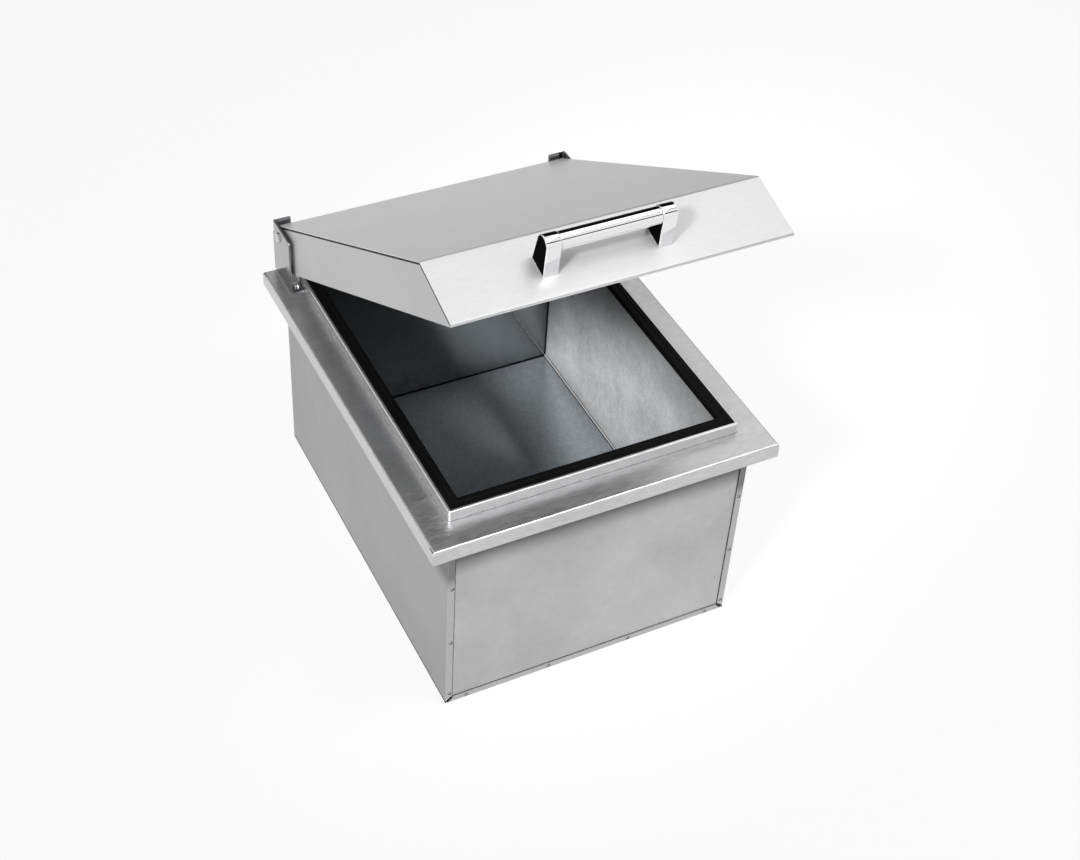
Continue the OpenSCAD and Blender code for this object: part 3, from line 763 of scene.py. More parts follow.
@dataclass(frozen=True)
class DeckMarks(Marks):
    """Relief slits at the deck's corners."""

    effect = Effect.SLITS

    def layers(self) -> tuple[Layer, ...]:
        """Give the slits."""
        return (Layer("Mask", 1.0, BLACK),)


@dataclass(frozen=True)
class WeldMarks(Marks):
    """Tone of a weld mark, a painted shade, from the attribute that its points carry."""

    attribute: str = "weld_tone"

    def mark(self, bench: PaintBench, colour: Wire) -> Wire:
        """Darken a colour by the tone, a painted shade."""
        tone = bench.add("ShaderNodeAttribute", attribute_name=self.attribute)
        return bench.blend(tone.outputs["Fac"], BLACK, colour)


# ---------------------------------------------------------------- finishes


class Finish:
    """What every finish shares: a name, and a material that its kind fills."""

    name: str

    def build(self, effects: SurfaceEffects) -> bpy.types.Material:
        """Make the material and fill its shader.

        Args:
            effects: The shared shader groups.

        Returns:
            The material.
        """
        material = bpy.data.materials.new(self.name)
        self.fill(PaintBench(material, effects))
        return material

    def fill(self, bench: PaintBench) -> None:
        """Fill the shader of a material; each kind of finish says how."""


@dataclass(frozen=True)
class SheetSteel(Finish):
    """Brushed or rolled stainless sheet."""

    name: str
    dark: Colour
    light: Colour
    grain: Grain = Grain.ALONG_X
    grain_contrast: float = 1.2
    cloud_contrast: float = 0.8
    cloud_scale: float = 9.0
    roughness: tuple[float, float] = (0.30, 0.42)
    relief: float = 0.10
    ripple: float = 0.05
    metallic: float = 1.0
    wall_metallic: float | None = None
    scuffs: float = 0.25
    marks: Marks | None = None

    def fill(self, bench: PaintBench) -> None:
        """Fill the shader: tone from grain and clouds, roughness from grain and scuffs, fine relief.

        Args:
            bench: Bench of the material.
        """
        grain = bench.effect(Effect.BRUSHING, {"Stretch": self.grain.value, "Contrast": self.grain_contrast})
        tone = (grain["Tone"] + bench.clouds(self.cloud_scale, self.cloud_contrast)) * 0.5
        colour, metal = bench.blend(tone, self.dark, self.light), self.metallic
        if self.marks:
            colour = self.marks.mark(bench, colour)
        if self.wall_metallic is not None:
            wall = bench.tree.nodes["marks"].outputs["Wall"]
            metal = bench.remap(wall, 0.0, 1.0, self.metallic, self.wall_metallic)
        rough = bench.scuffed(bench.remap(grain["Tone"], 0.25, 0.75, *self.roughness), self.scuffs, depth=0.2)
        normal = bench.raised(grain["Height"], self.relief, self.ripple)
        bench.paint(Base_Color=colour, Metallic=metal, Roughness=rough, Normal=normal)


@dataclass(frozen=True)
class PolishedMetal(Finish):
    """Chrome, plated screws and polished steel: nearly smooth, with faint smudges."""

    name: str
    colour: Colour
    smudged: Colour
    roughness: tuple[float, float] = (0.05, 0.14)
    paints_dark_side_reflection: bool = False

    def fill(self, bench: PaintBench) -> None:
        """Fill the shader: colour and roughness drift with smudges, and faces to the side may take a painted dark
        reflection.

        Args:
            bench: Bench of the material.
        """
        smudges = bench.clouds(scale=60.0, contrast=1.4)
        colour, metal = bench.blend(smudges, self.smudged, self.colour), 1.0
        if self.paints_dark_side_reflection:
            # Faces that look along X are painted black, without shine: a painted dark reflection.
            across = bench.axes(bench.add("ShaderNodeNewGeometry").outputs["Normal"])[0]
            side = bench.remap(abs(across), 0.80, 0.97)
            colour, metal = bench.blend(side, colour, BLACK), 1.0 - side
            bench.paint(Specular_IOR_Level=0.0)
        rough = bench.scuffed(bench.remap(smudges, 0.3, 0.7, *self.roughness), density=0.5, depth=0.1)
        bench.paint(Base_Color=colour, Metallic=metal, Roughness=rough, Normal=bench.raised(smudges, 0.02))


@dataclass(frozen=True)
class MouldedPolymer(Finish):
    """Rubber, plastic or foam: matte, with a fine pebble and a dusty bloom."""

    name: str
    colour: Colour
    bloom: Colour
    pebble_scale: float = 1400.0
    roughness: tuple[float, float] = (0.42, 0.6)
    relief: float = 0.2
    sheen: float = 0.5

    def fill(self, bench: PaintBench) -> None:
        """Fill the shader: pebbled relief, and a bloom of dust in broad patches.

        Args:
            bench: Bench of the material.
        """
        patches = bench.clouds(scale=22.0, contrast=1.6)
        pebble = bench.noise(bench.place(), self.pebble_scale, detail=2.0, rough=0.5)
        bench.paint(Base_Color=bench.blend(patches * pebble, self.colour, self.bloom),
                    Roughness=bench.remap(patches, 0.3, 0.7, *self.roughness),
                    Normal=bench.raised(pebble, self.relief), Specular_IOR_Level=self.sheen)


FINISHES = (
    SheetSteel("deck_steel", (0.40, 0.40, 0.405), (0.74, 0.74, 0.745), Grain.SHORT_X, grain_contrast=2.4,
               roughness=(0.28, 0.38), relief=0.25, metallic=0.94, marks=DeckMarks()),
    SheetSteel("collar_steel", (0.52, 0.52, 0.53), (0.74, 0.74, 0.75), Grain.SHORT_X, grain_contrast=1.4,
               roughness=(0.28, 0.38), relief=0.15, metallic=0.90),
    SheetSteel("weld_steel", (0.10, 0.10, 0.10), (0.44, 0.44, 0.44), Grain.NONE, grain_contrast=2.5,
               cloud_contrast=1.5, cloud_scale=90.0, roughness=(0.55, 0.75), relief=0.6),
    SheetSteel("mark_steel", (0.40, 0.40, 0.40), (0.56, 0.56, 0.56), Grain.NONE, grain_contrast=1.0,
               cloud_contrast=1.0, cloud_scale=90.0, roughness=(0.3, 0.4), marks=WeldMarks()),
    SheetSteel("casing_steel", (0.24, 0.24, 0.24), (0.41, 0.41, 0.41), Grain.NONE, grain_contrast=0.6,
               cloud_contrast=1.9, roughness=(0.38, 0.5), relief=0.08, ripple=0.45, metallic=0.7,
               marks=CasingMarks(hold=0.044, fade=0.018, shade_depth=0.60, seam_depth=0.0, flange_depth=1.0)),
    SheetSteel("panel_steel", (0.34, 0.34, 0.34), (0.58, 0.58, 0.58), Grain.NONE, grain_contrast=0.6,
               cloud_contrast=2.6, cloud_scale=11.0, roughness=(0.34, 0.46), relief=0.08, ripple=0.45,
               metallic=0.7, marks=CasingMarks()),
    SheetSteel("tub_steel", (0.37, 0.40, 0.42), (0.56, 0.60, 0.63), Grain.COARSE, grain_contrast=5.0,
               cloud_contrast=1.2, cloud_scale=10.0, roughness=(0.06, 0.14), relief=0.25, metallic=0.6,
               wall_metallic=1.0, marks=TubMarks(wall_tint=0.9, shade_depth=0.35)),
    SheetSteel("tub_side_steel", (0.50, 0.51, 0.52), (0.98, 0.99, 1.0), Grain.COARSE, grain_contrast=2.6,
               cloud_contrast=3.4, cloud_scale=17.0, roughness=(0.40, 0.55), relief=0.35, metallic=0.2,
               marks=TubMarks(top_depth=0.6)),
    SheetSteel("lid_steel", (0.46, 0.46, 0.465), (0.60, 0.60, 0.605), Grain.SHORT_X, grain_contrast=1.5,
               roughness=(0.28, 0.36), relief=0.06, metallic=0.25, marks=LidMarks(bend=0.4, hem=0.8, top=0.22)),
    SheetSteel("cheek_steel", (0.44, 0.44, 0.445), (0.62, 0.62, 0.625), Grain.ALONG_Y, roughness=(0.42, 0.52),
               marks=LidMarks(joint=1.0)),
    SheetSteel("liner_steel", (0.26, 0.265, 0.27), (0.36, 0.365, 0.37), Grain.ALONG_Y, roughness=(0.4, 0.5),
               metallic=0.7),
    PolishedMetal("bracket_steel", (0.40, 0.40, 0.41), (0.30, 0.30, 0.31), (0.10, 0.18)),
    PolishedMetal("fastener_steel", (0.70, 0.70, 0.71), (0.56, 0.56, 0.57), (0.12, 0.22)),
    PolishedMetal("handle_chrome", (0.86, 0.86, 0.87), (0.80, 0.80, 0.81), (0.02, 0.05), paints_dark_side_reflection=True),
    PolishedMetal("bar_chrome", (0.86, 0.86, 0.87), (0.80, 0.80, 0.81), (0.02, 0.05)),
    PolishedMetal("drain_steel", (0.60, 0.61, 0.62), (0.50, 0.51, 0.52), (0.18, 0.3)),
    PolishedMetal("locknut_brass", (0.72, 0.55, 0.25), (0.60, 0.44, 0.18), (0.22, 0.36)),
    MouldedPolymer("gasket_rubber", (0.002, 0.002, 0.002), (0.010, 0.010, 0.010), roughness=(0.5, 0.65), sheen=0.04),
    MouldedPolymer("seal_rubber", (0.012, 0.012, 0.012), (0.04, 0.04, 0.04)),
    MouldedPolymer("washer_nylon", (0.02, 0.02, 0.02), (0.05, 0.05, 0.05)),
    MouldedPolymer("bush_nylon", (0.72, 0.70, 0.62), (0.62, 0.60, 0.52)),
    MouldedPolymer("insulation_foam", (0.78, 0.70, 0.48), (0.66, 0.57, 0.36), 500.0, (0.8, 0.95), 0.8),
)


class Wardrobe:
    """All finishes, built once and handed out by name."""

    def __init__(self) -> None:
        """Build the shared effects and every finish."""
        effects = SurfaceEffects()
        self.materials = {finish.name: finish.build(effects) for finish in FINISHES}

    def dress(self, piece: bpy.types.Object, name: str) -> None:
        """Put a finish into every material slot of a piece.

        Args:
            piece: Mesh object.
            name: Name of the finish.
        """
        if not piece.material_slots:
            piece.data.materials.append(self.materials[name])
        for slot in piece.material_slots:
            slot.material = self.materials[name]
        LOG.info("%s wears %s", piece.name, name)


# ---------------------------------------------------------------- shapes


def bend_path(points: list[tuple[float, float]], radii: Sequence[float], steps: int = 8,
              hold: float = 0.4) -> Array:
    """Round the corners of a polyline.

    Each corner becomes an arc of its radius, tangent to both sides, with a point on the straight run
    just before and just after it, so that shading stays flat there.

    Args:
        points: Corners in the plane, in millimetres.
        radii: Radius at each corner; 0 keeps it sharp, as the ends always are.
        steps: Segments of each arc.
        hold: Distance of the extra points from the arc.

    Returns:
        The rounded polyline, one row per point.
    """
    corners = np.array(points, float)
    rows: list[Array] = []
    for i, radius in enumerate(radii):
        here = corners[i]
        if radius <= 0 or i in (0, len(corners) - 1):
            rows.append(here[None])
            continue
        back, ahead = corners[i - 1] - here, corners[i + 1] - here
        back, ahead = back / np.linalg.norm(back), ahead / np.linalg.norm(ahead)
        half = math.acos(float(np.clip(back @ ahead, -1, 1))) / 2
        run = radius / math.tan(half)
        centre = here + (back + ahead) / np.linalg.norm(back + ahead) * radius / math.sin(half)
        start, end = here + back * run - centre, here + ahead * run - centre
        first = math.atan2(start[1], start[0])
        sweep = (math.atan2(end[1], end[0]) - first + math.pi) % (2 * math.pi) - math.pi
        angles = first + sweep * np.linspace(0, 1, steps + 1)
        arc = centre + radius * np.stack([np.cos(angles), np.sin(angles)], axis=1)
        rows += [(here + back * (run + hold))[None], arc, (here + ahead * (run + hold))[None]]
    return np.concatenate(rows)


def offset_path(path: Array, distance: float, closed: bool = False) -> Array:
    """Move a polyline to its left.

    Each point moves along the mean of its two sides' normals, lengthened so that the sides stay parallel,
    by at most one over the least share.

    Args:
        path: Points in the plane, one per row.
        distance: How far to move.
        closed: Treat the last point as joined to the first.

    Returns:
        The moved points, as many as before.
    """
    if closed:
        steps = np.roll(path, -1, axis=0) - path
        before, after = np.roll(steps, 1, axis=0), steps
    else:
        steps = np.diff(path, axis=0)
        before, after = np.vstack([steps[:1], steps]), np.vstack([steps, steps[-1:]])
    before = before / np.linalg.norm(before, axis=1, keepdims=True)
    after = after / np.linalg.norm(after, axis=1, keepdims=True)
    turn = np.array([[0.0, 1.0], [-1.0, 0.0]])
    normal = (before + after) @ turn
    normal /= np.linalg.norm(normal, axis=1, keepdims=True)
    least = 0.3
    share = np.clip(np.sum(normal * (before @ turn), axis=1), least, 1.0)
    return path + normal * (distance / share)[:, None]


def ring(half_x: float, half_y: float, radius: float, corner_steps: int, edge_steps: int = 40) -> Array:
    """Rounded rectangle round the origin, with the same number of points whatever its size.

    Args:
        half_x: Half of its width.
        half_y: Half of its depth.
        radius: Radius of its corners.
        corner_steps: Segments of a corner.
        edge_steps: Segments of a straight side.

    Returns:
        Points in the plane, anticlockwise.
    """
    rows = []
    for quarter, (sx, sy) in enumerate(((1, 1), (-1, 1), (-1, -1), (1, -1))):
        angles = math.pi / 2 * (quarter + np.linspace(0, 1, corner_steps + 1))
        centre = np.array([sx * (half_x - radius), sy * (half_y - radius)])
        rows.append(centre + radius * np.stack([np.cos(angles), np.sin(angles)], axis=1))
    share = np.linspace(0, 1, edge_steps + 1)[1:-1, None]
    sides = [rows[i][-1] + share * (rows[(i + 1) % 4][0] - rows[i][-1]) for i in range(4)]
    return np.concatenate([block for pair in zip(rows, sides) for block in pair])


def grid_quads(rows: int, columns: int, wrap_rows: bool, wrap_columns: bool) -> Array:
    """Quads that join neighbouring points of a grid.

    Args:
        rows: Rows of the grid.
        columns: Columns of the grid.
        wrap_rows: Join the last row to the first.
        wrap_columns: Join the last column to the first.

    Returns:
        Four point numbers per quad.
    """
    r, c = np.meshgrid(np.arange(rows if wrap_rows else rows - 1),
                       np.arange(columns if wrap_columns else columns - 1), indexing="ij")
    r, c = r.ravel(), c.ravel()
    r2, c2 = (r + 1) % rows, (c + 1) % columns
    return np.stack([r * columns + c, r2 * columns + c, r2 * columns + c2, r * columns + c2], axis=1)


def add_object(name: str, data: bpy.types.ID) -> bpy.types.Object:
    """Make an object and link it to the scene.

    Args:
        name: Name of the object.
        data: Its mesh, camera or lamp.

    Returns:
        The object.
    """
    thing = bpy.data.objects.new(name, data)
    bpy.context.scene.collection.objects.link(thing)
    return thing


class Shaper:
    """Turns arrays of points into finished mesh objects that ride on a body."""

    BEVEL_STEPS = 2
    BEVEL_DEG = 50.0

    def __init__(self, wardrobe: Wardrobe) -> None:
        """Keep the finishes."""
        self.wardrobe = wardrobe

    def finish(self, name: str, points: Array, faces: list, body: Body, look: str, slot: str,
               replaces: tuple[str, ...] = (), bevel: float = 0.0, sharp_deg: float = 35.0) -> bpy.types.Object:
        """Make the mesh, point its faces outward, and put it on its body with its finish.

        Args:
            name: Name of the piece.
            points: Points in millimetres, one per row.
            faces: Lists of point numbers.
            body: Body that it rides on.
            look: Name of its finish.
            slot: Material slot; not used.
            replaces: CAD nodes that it stands for.
            bevel: Width of the softened sharp edges, in millimetres.
            sharp_deg: Edges that turn by more stay sharp.

        Returns:
            The new object.
        """
        mesh = bpy.data.meshes.new(name)
        mesh.from_pydata((np.asarray(points) * MM).tolist(), [], faces)
        mesh.validate()
        mesh.calc_loop_triangles()
        corners = np.zeros(len(mesh.loop_triangles) * 3, int)
        mesh.loop_triangles.foreach_get("vertices", corners)
        place = np.zeros(len(mesh.vertices) * 3)
        mesh.vertices.foreach_get("co", place)
        tri = place.reshape(-1, 3)[corners].reshape(-1, 3, 3)
        if np.einsum("ij,ij->i", tri[:, 0], np.cross(tri[:, 1], tri[:, 2])).sum() < 0:
            mesh.flip_normals()
        mesh.shade_smooth()
        mesh.set_sharp_from_angle(angle=math.radians(sharp_deg))
        piece = add_object(name, mesh)
        if bevel > 0:
            soft = piece.modifiers.new("soft_edges", "BEVEL")
            soft.width = bevel * MM
            soft.segments = self.BEVEL_STEPS
            soft.limit_method = "ANGLE"
            soft.angle_limit = math.radians(self.BEVEL_DEG)
            soft.harden_normals = True
        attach(piece, body.value)
        if replaces:
            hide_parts(*replaces)
        self.wardrobe.dress(piece, look)
        LOG.info("%s: %d points, %d faces, on %s", name, len(points), len(faces), body.value)
        return piece

    def loft(self, sections: list[tuple[float, float, float, float, float]],
             corner_steps: int) -> tuple[Array, list]:
        """Join rounded rectangles into one surface, and the last one to the first, as round a frame.

        Args:
            sections: Half width, half depth, corner radius, height and middle depth of each.
            corner_steps: Segments of the rectangles' corners.

        Returns:
            Points and quads.
        """
        flat = np.stack([ring(*section[:3], corner_steps) for section in sections])
        height, middle = np.array([section[3:] for section in sections]).T[..., None]
        points = np.stack([flat[..., 0], flat[..., 1] + middle, np.broadcast_to(height, flat.shape[:2])], axis=-1)
        quads = grid_quads(len(sections), flat.shape[1], True, True)
        return points.reshape(-1, 3), quads.tolist()

    def sheet(self, path: Array, thickness: float, stations: Array) -> tuple[Array, Array, Array, list]:
        """Sweep a bent sheet sideways: its outer face, its inner face, and all four edges.

        The section runs along the outer path and back along the path moved in by the thickness.

        Args:
            path: Outer path in the plane; the sheet lies on its left.
            thickness: Thickness of the sheet.
            stations: Positions of the sections along the sweep.

        Returns:
            Positions along the sweep, both coordinates in the plane, and faces.
        """
        section = np.concatenate([path, offset_path(path, thickness)[::-1]])
        count, number = len(section), len(stations)
        along = np.tile(stations, count)
        plane = np.repeat(section, number, axis=0)
        quads = grid_quads(count, number, True, False)
        i = np.arange(len(path) - 1)
        cap = np.stack([i, i + 1, count - 2 - i, count - 1 - i], axis=1) * number
        faces = np.concatenate([quads, cap, cap[:, ::-1] + number - 1])
        return along, plane[:, 0], plane[:, 1], faces.tolist()

    def rounded_block(self, outline: Array, width: float, fillet: float, steps: int = 5
                      ) -> tuple[Array, Array, Array, list]:
        """Sweep a closed outline sideways, with a quarter-round fillet at both faces.

        From a face inward, the outline stands in by the fillet times one minus the sine of the turn,
        at a depth of the fillet times one minus its cosine.

        Args:
            outline: Closed path, anticlockwise, one point per row.
            width: Width of the block.
            fillet: Radius of the fillets.
            steps: Segments of a fillet.

        Returns:
            Positions along the sweep, both coordinates in the plane, and faces.
        """
        turn = np.linspace(0, math.pi / 2, steps + 1)
        inward = fillet * (1 - np.sin(turn))
        inset = np.concatenate([inward, inward[::-1]])
        depth = fillet * (1 - np.cos(turn))
        reach = np.concatenate([depth - width / 2, width / 2 - depth[::-1]])
        rings = np.stack([offset_path(outline, d, closed=True) for d in inset])
        count = len(outline)
        along = np.repeat(reach, count)
        quads = grid_quads(len(reach), count, False, True).tolist()
        quads += [list(range(count - 1, -1, -1)), list(range((len(reach) - 1) * count, len(reach) * count))]
        return along, rings[..., 0].ravel(), rings[..., 1].ravel(), quads

    def turned(self, profile: Array, steps: int = 96) -> tuple[Array, Array, Array, list]:
        """Turn a profile round an axis, with a flat disc at each end.

        Args:
            profile: Position along the axis and radius, one row per ring.
            steps: Segments round the axis.

        Returns:
            Positions along the axis, both coordinates across it, and faces.
        """
        angles = np.linspace(0, 2 * math.pi, steps, endpoint=False)
        along = np.repeat(profile[:, 0], steps)
        a = (profile[:, 1:] * np.cos(angles)).ravel()
        b = (profile[:, 1:] * np.sin(angles)).ravel()
        quads = grid_quads(len(profile), steps, False, True).tolist()
        last = (len(profile) - 1) * steps
        quads += [list(range(steps - 1, -1, -1)), list(range(last, last + steps))]
        return along, a, b, quads


# ---------------------------------------------------------------- assemblies


@dataclass
class Assembly:
    """Part of the object: CAD nodes with their finishes, and pieces made here."""

    shaper: Shaper
    nodes: dict[str, bpy.types.Object]
    lid: LidPose = field(default_factory=LidPose)
    finishes: dict[str, str] = field(default_factory=dict)

    def dress(self) -> None:
        """Give each CAD node of the assembly its finish."""
        for node, finish in self.finishes.items():
            self.shaper.wardrobe.dress(self.nodes[node], finish)

    def build(self) -> None:
        """Make the assembly's own pieces; there are none unless a kind of assembly adds them."""


@dataclass
class Deck(Assembly):
    """Deck with its turned-down edge, the collar welded into it, and the gasket in the collar."""

    half_w: float = 190.5
    half_d: float = 232.0
    top: float = 250.0
    edge_h: float = 16.5
    sheet: float = 1.5
    bend_r: float = 3.0
    collar_w: float = 160.0
    collar_d: float = 200.75
    collar_y: float = 1.25
    collar_h: float = 12.5
    collar_r: float = 3.0
    collar_return: float = 3.0
    least_r: float = 0.25
    corner_r: float = 0.5
    inner_corner_r: float = 0.4
    gasket_seat: float = 258.0
    gasket_top: float = 262.7
    gasket_foot: float = 3.0
    gasket_gap: float = 1.6
    groove: tuple[float, float, float] = (5.4, 6.6, 7.8)
    groove_depth: float = 0.7
    tub_w: float = 146.0
    tub_d: float = 186.75
    skirt: float = 2.0
    skirt_drop: float = 2.0
    finishes: dict[str, str] = field(default_factory=lambda: {
        "top_deck": "deck_steel", "deck_collar": "collar_steel", "lid_gasket": "gasket_rubber"})

    def build(self) -> None:
        """Make the deck's sheet, the collar, its weld and the gasket."""
        self._sheet()
        self._collar()
        self._weld()
        self._gasket()

    def _sheet(self) -> None:
        """Deck: rings from the lip's lower edge over the bend to the cut-out, and back underneath.

        A far point gives the bend its direction and is then left out.
        """
        low, t, r, far = self.top - self.edge_h, self.sheet, self.bend_r, 40.0
        outer = bend_path([(0, low), (0, self.top), (far, self.top)], [0, r, 0])[:-1]
        inner = bend_path([(t, low), (t, self.top - t), (far, self.top - t)], [0, r - t, 0])[:-1]
        hole = (self.collar_w, self.collar_d, self.collar_r)
        sections = [(self.half_w - d, self.half_d - d, self.corner_r, z, 0.0) for d, z in outer]
        sections += [(*hole, self.top, self.collar_y), (*hole, self.top - t, self.collar_y)]
        sections += [(self.half_w - d, self.half_d - d, self.inner_corner_r, z, 0.0) for d, z in inner[::-1]]
        points, faces = self.shaper.loft(sections, corner_steps=4)
        self.shaper.finish("deck_sheet", points, faces, Body.COOLER, "deck_steel", "deck_steel",
                           ("top_deck",), bevel=0.2)

    def _collar(self) -> None:
        """Collar: rings up its outer face, over the folded edge, under it and down the inside."""
        high, t = self.top + self.collar_h, self.sheet
        path = bend_path([(0, self.top - t), (0, high), (self.collar_return, high)], [0, t, 0], steps=6, hold=0.2)
        under = [(self.collar_return, high - t), (t, high - t), (t, self.top - t)]
        sections = [(self.collar_w - d, self.collar_d - d, max(self.collar_r - d, self.least_r), z, self.collar_y)
                    for d, z in [*path, *under]]
        points, faces = self.shaper.loft(sections, corner_steps=8)
        self.shaper.finish("collar_sheet", points, faces, Body.COOLER, "collar_steel", "deck_steel",
                           ("deck_collar",), bevel=0.15)

    def _weld(self) -> None:
        """Uneven bead at the collar's foot, whose rings swell and shrink as sums of sines along the run.

        Each ring has its distance out from the collar, its share of the swell and its depth in the deck.
        """
        rings = np.array([(-0.3, 0.5, 0.0), (0.0, 0.75, 0.0), (0.35, 0.4, 0.0), (0.7, 0.0, 0.1), (-0.3, 0.0, 0.1)])
        flat = np.stack([ring(self.collar_w + d, self.collar_d + d, self.collar_r + max(d, 0.0), 8, edge_steps=220)
                         for d in rings[:, 0]])
        run = np.arange(flat.shape[1])
        swell = 1 + 0.28 * np.sin(run * 0.61) + 0.22 * np.sin(run * 1.37 + 1.0) + 0.16 * np.sin(run * 2.9 + 2.0)
        rise = np.outer(rings[:, 1], swell) - rings[:, 2:]
        points = np.stack([flat[..., 0], flat[..., 1] + self.collar_y, self.top + rise], axis=-1)
        faces = grid_quads(len(rings), len(run), True, True).tolist()
        self.shaper.finish("collar_weld", points.reshape(-1, 3), faces, Body.COOLER, "weld_steel", "deck_steel")

    def _gasket(self) -> None:
        """Gasket: rings up the skirt, across the grooved crown with rounded shoulders, and back below.

        The corners' radius grows with the distance outward, so that the rings stay apart.
        """
        inner_w, inner_d = self.tub_w - self.skirt, self.tub_d - self.skirt
        mouth = self.collar_w - self.sheet - inner_w
        crown, step = mouth - self.gasket_gap, self.gasket_seat + self.gasket_foot
        (first, middle, last), high, hem = self.groove, self.gasket_top, self.gasket_seat - self.skirt_drop
        path = bend_path([(0, hem), (0, high), (first, high), (middle, high - self.groove_depth), (last, high),
                          (crown, high), (crown, step)], [0, 1.2, 0.5, 0.5, 0.5, 0.4, 0], hold=0.1)
        lower = [(mouth, step), (mouth, self.gasket_seat), (self.skirt, self.gasket_seat), (self.skirt, hem)]
        sections = [(inner_w + d, inner_d + d, 0.6 + d * 0.06, z, self.collar_y) for d, z in [*path, *lower]]
        points, faces = self.shaper.loft(sections, corner_steps=5)
        self.shaper.finish("gasket_bulb", points, faces, Body.COOLER, "gasket_rubber", "gasket_rubber",
                           ("lid_gasket",), bevel=0.2)


@dataclass
class Tub(Assembly):
    """Tub, drain and insulation."""

    finishes: dict[str, str] = field(default_factory=lambda: {
        "inner_tub": "tub_steel", "left_tub_wall": "tub_side_steel", "right_tub_wall": "tub_side_steel",
        "drain_fitting": "drain_steel", "drain_strainer": "drain_steel",
        "drain_seal": "seal_rubber", "drain_locknut": "locknut_brass",
        "front_insulation": "insulation_foam", "back_insulation": "insulation_foam",
        "left_insulation": "insulation_foam", "right_insulation": "insulation_foam",
        "floor_insulation": "insulation_foam"})


@dataclass
class Casing(Assembly):
    """Folded panels of the casing, and the marks that spot welding left on their flanges."""

    half_w: float = 166.5
    front_y: float = -216.0
    back_y: float = 227.0
    seam_w: float = 7.0
    mark_heights: tuple[float, ...] = (14.0, 93.5, 173.0)
    mark_across: tuple[float, ...] = (-143.5, -143.5 / 3, 143.5 / 3, 143.5)
    mark_inset: float = 0.5
    mark_sink: float = 0.5
    finishes: dict[str, str] = field(default_factory=lambda: {
        "left_side_panel": "casing_steel", "right_side_panel": "casing_steel", "front_panel": "panel_steel",
        "back_panel": "panel_steel", "bottom_pan": "casing_steel"})

    def build(self) -> None:
        """Make the weld marks of the front and of the back."""
        for name, y, out in (("front_weld_marks", self.front_y, -1.0), ("back_weld_marks", self.back_y, 1.0)):
            self._marks(name, y, out)

    def _marks(self, name: str, y: float, out: float) -> None:
        """Spot-weld marks: thin discs with a raised ring, with a crescent of painted shade inside it.

        The height is 0.04 mm plus 0.12 mm times a bell round the ring, and less at the rim. The tone,
        a painted shade, falls by a bell round a smaller radius, more on the lower right than on the upper left.

        Args:
            name: Name of the piece.
            y: Face that the marks sit on, in millimetres.
            out: Direction out of the face, -1 or 1.
        """
        x = self.half_w - self.seam_w / 2 - self.mark_inset
        centres = [(s * x, z) for s in (-1, 1) for z in self.mark_heights]
        centres += [(u, self.seam_w / 2) for u in self.mark_across]
        radii, turn = np.linspace(0.15, 2.7, 12), np.linspace(0, 2 * math.pi, 28, endpoint=False)
        bell = 0.04 + 0.12 * np.exp(-((radii - 2.1) / 0.4) ** 2) - 0.12 * (radii > 2.65)
        across, up = (radii[:, None] * np.cos(turn)).ravel(), (radii[:, None] * np.sin(turn)).ravel()
        height = np.repeat(y + out * bell, len(turn))
        count, edge = len(across), np.arange(len(turn))
        points, faces = [], []
        for i, (cx, cz) in enumerate(centres):
            points += [np.stack([cx + across, depth, cz + up], axis=1)
                       for depth in (height, np.full(count, y - out * self.mark_sink))]
            base = i * 2 * count
            quads = grid_quads(len(radii), len(turn), False, True) + base
            rim = base + count - len(turn) + edge
            after = np.roll(rim, -1)
            faces += quads.tolist() + (quads[:, ::-1] + count).tolist()
            faces += np.stack([rim, rim + count, after + count, after], axis=1)[:, ::-1].tolist()
            faces += [(base + edge)[::-1].tolist(), (base + count + edge).tolist()]
        piece = self.shaper.finish(name, np.concatenate(points), faces, Body.COOLER, "mark_steel", "casing_steel")
        piece.data.shade_smooth()
        # Painted shade of the dent, heaviest on the lower right.
        shade_lean = 0.3 + 0.7 * np.clip(np.cos(turn + 0.7), 0, 1)
        tone = np.clip(1.0 - 1.6 * np.exp(-((radii - 1.7) / 0.7) ** 2)[:, None] * shade_lean, 0, 1)
        layer = piece.data.attributes.new(WeldMarks.attribute, "FLOAT", "POINT")
        layer.data.foreach_set("value", np.tile(tone.ravel(), 2 * len(centres)).astype(np.float32))


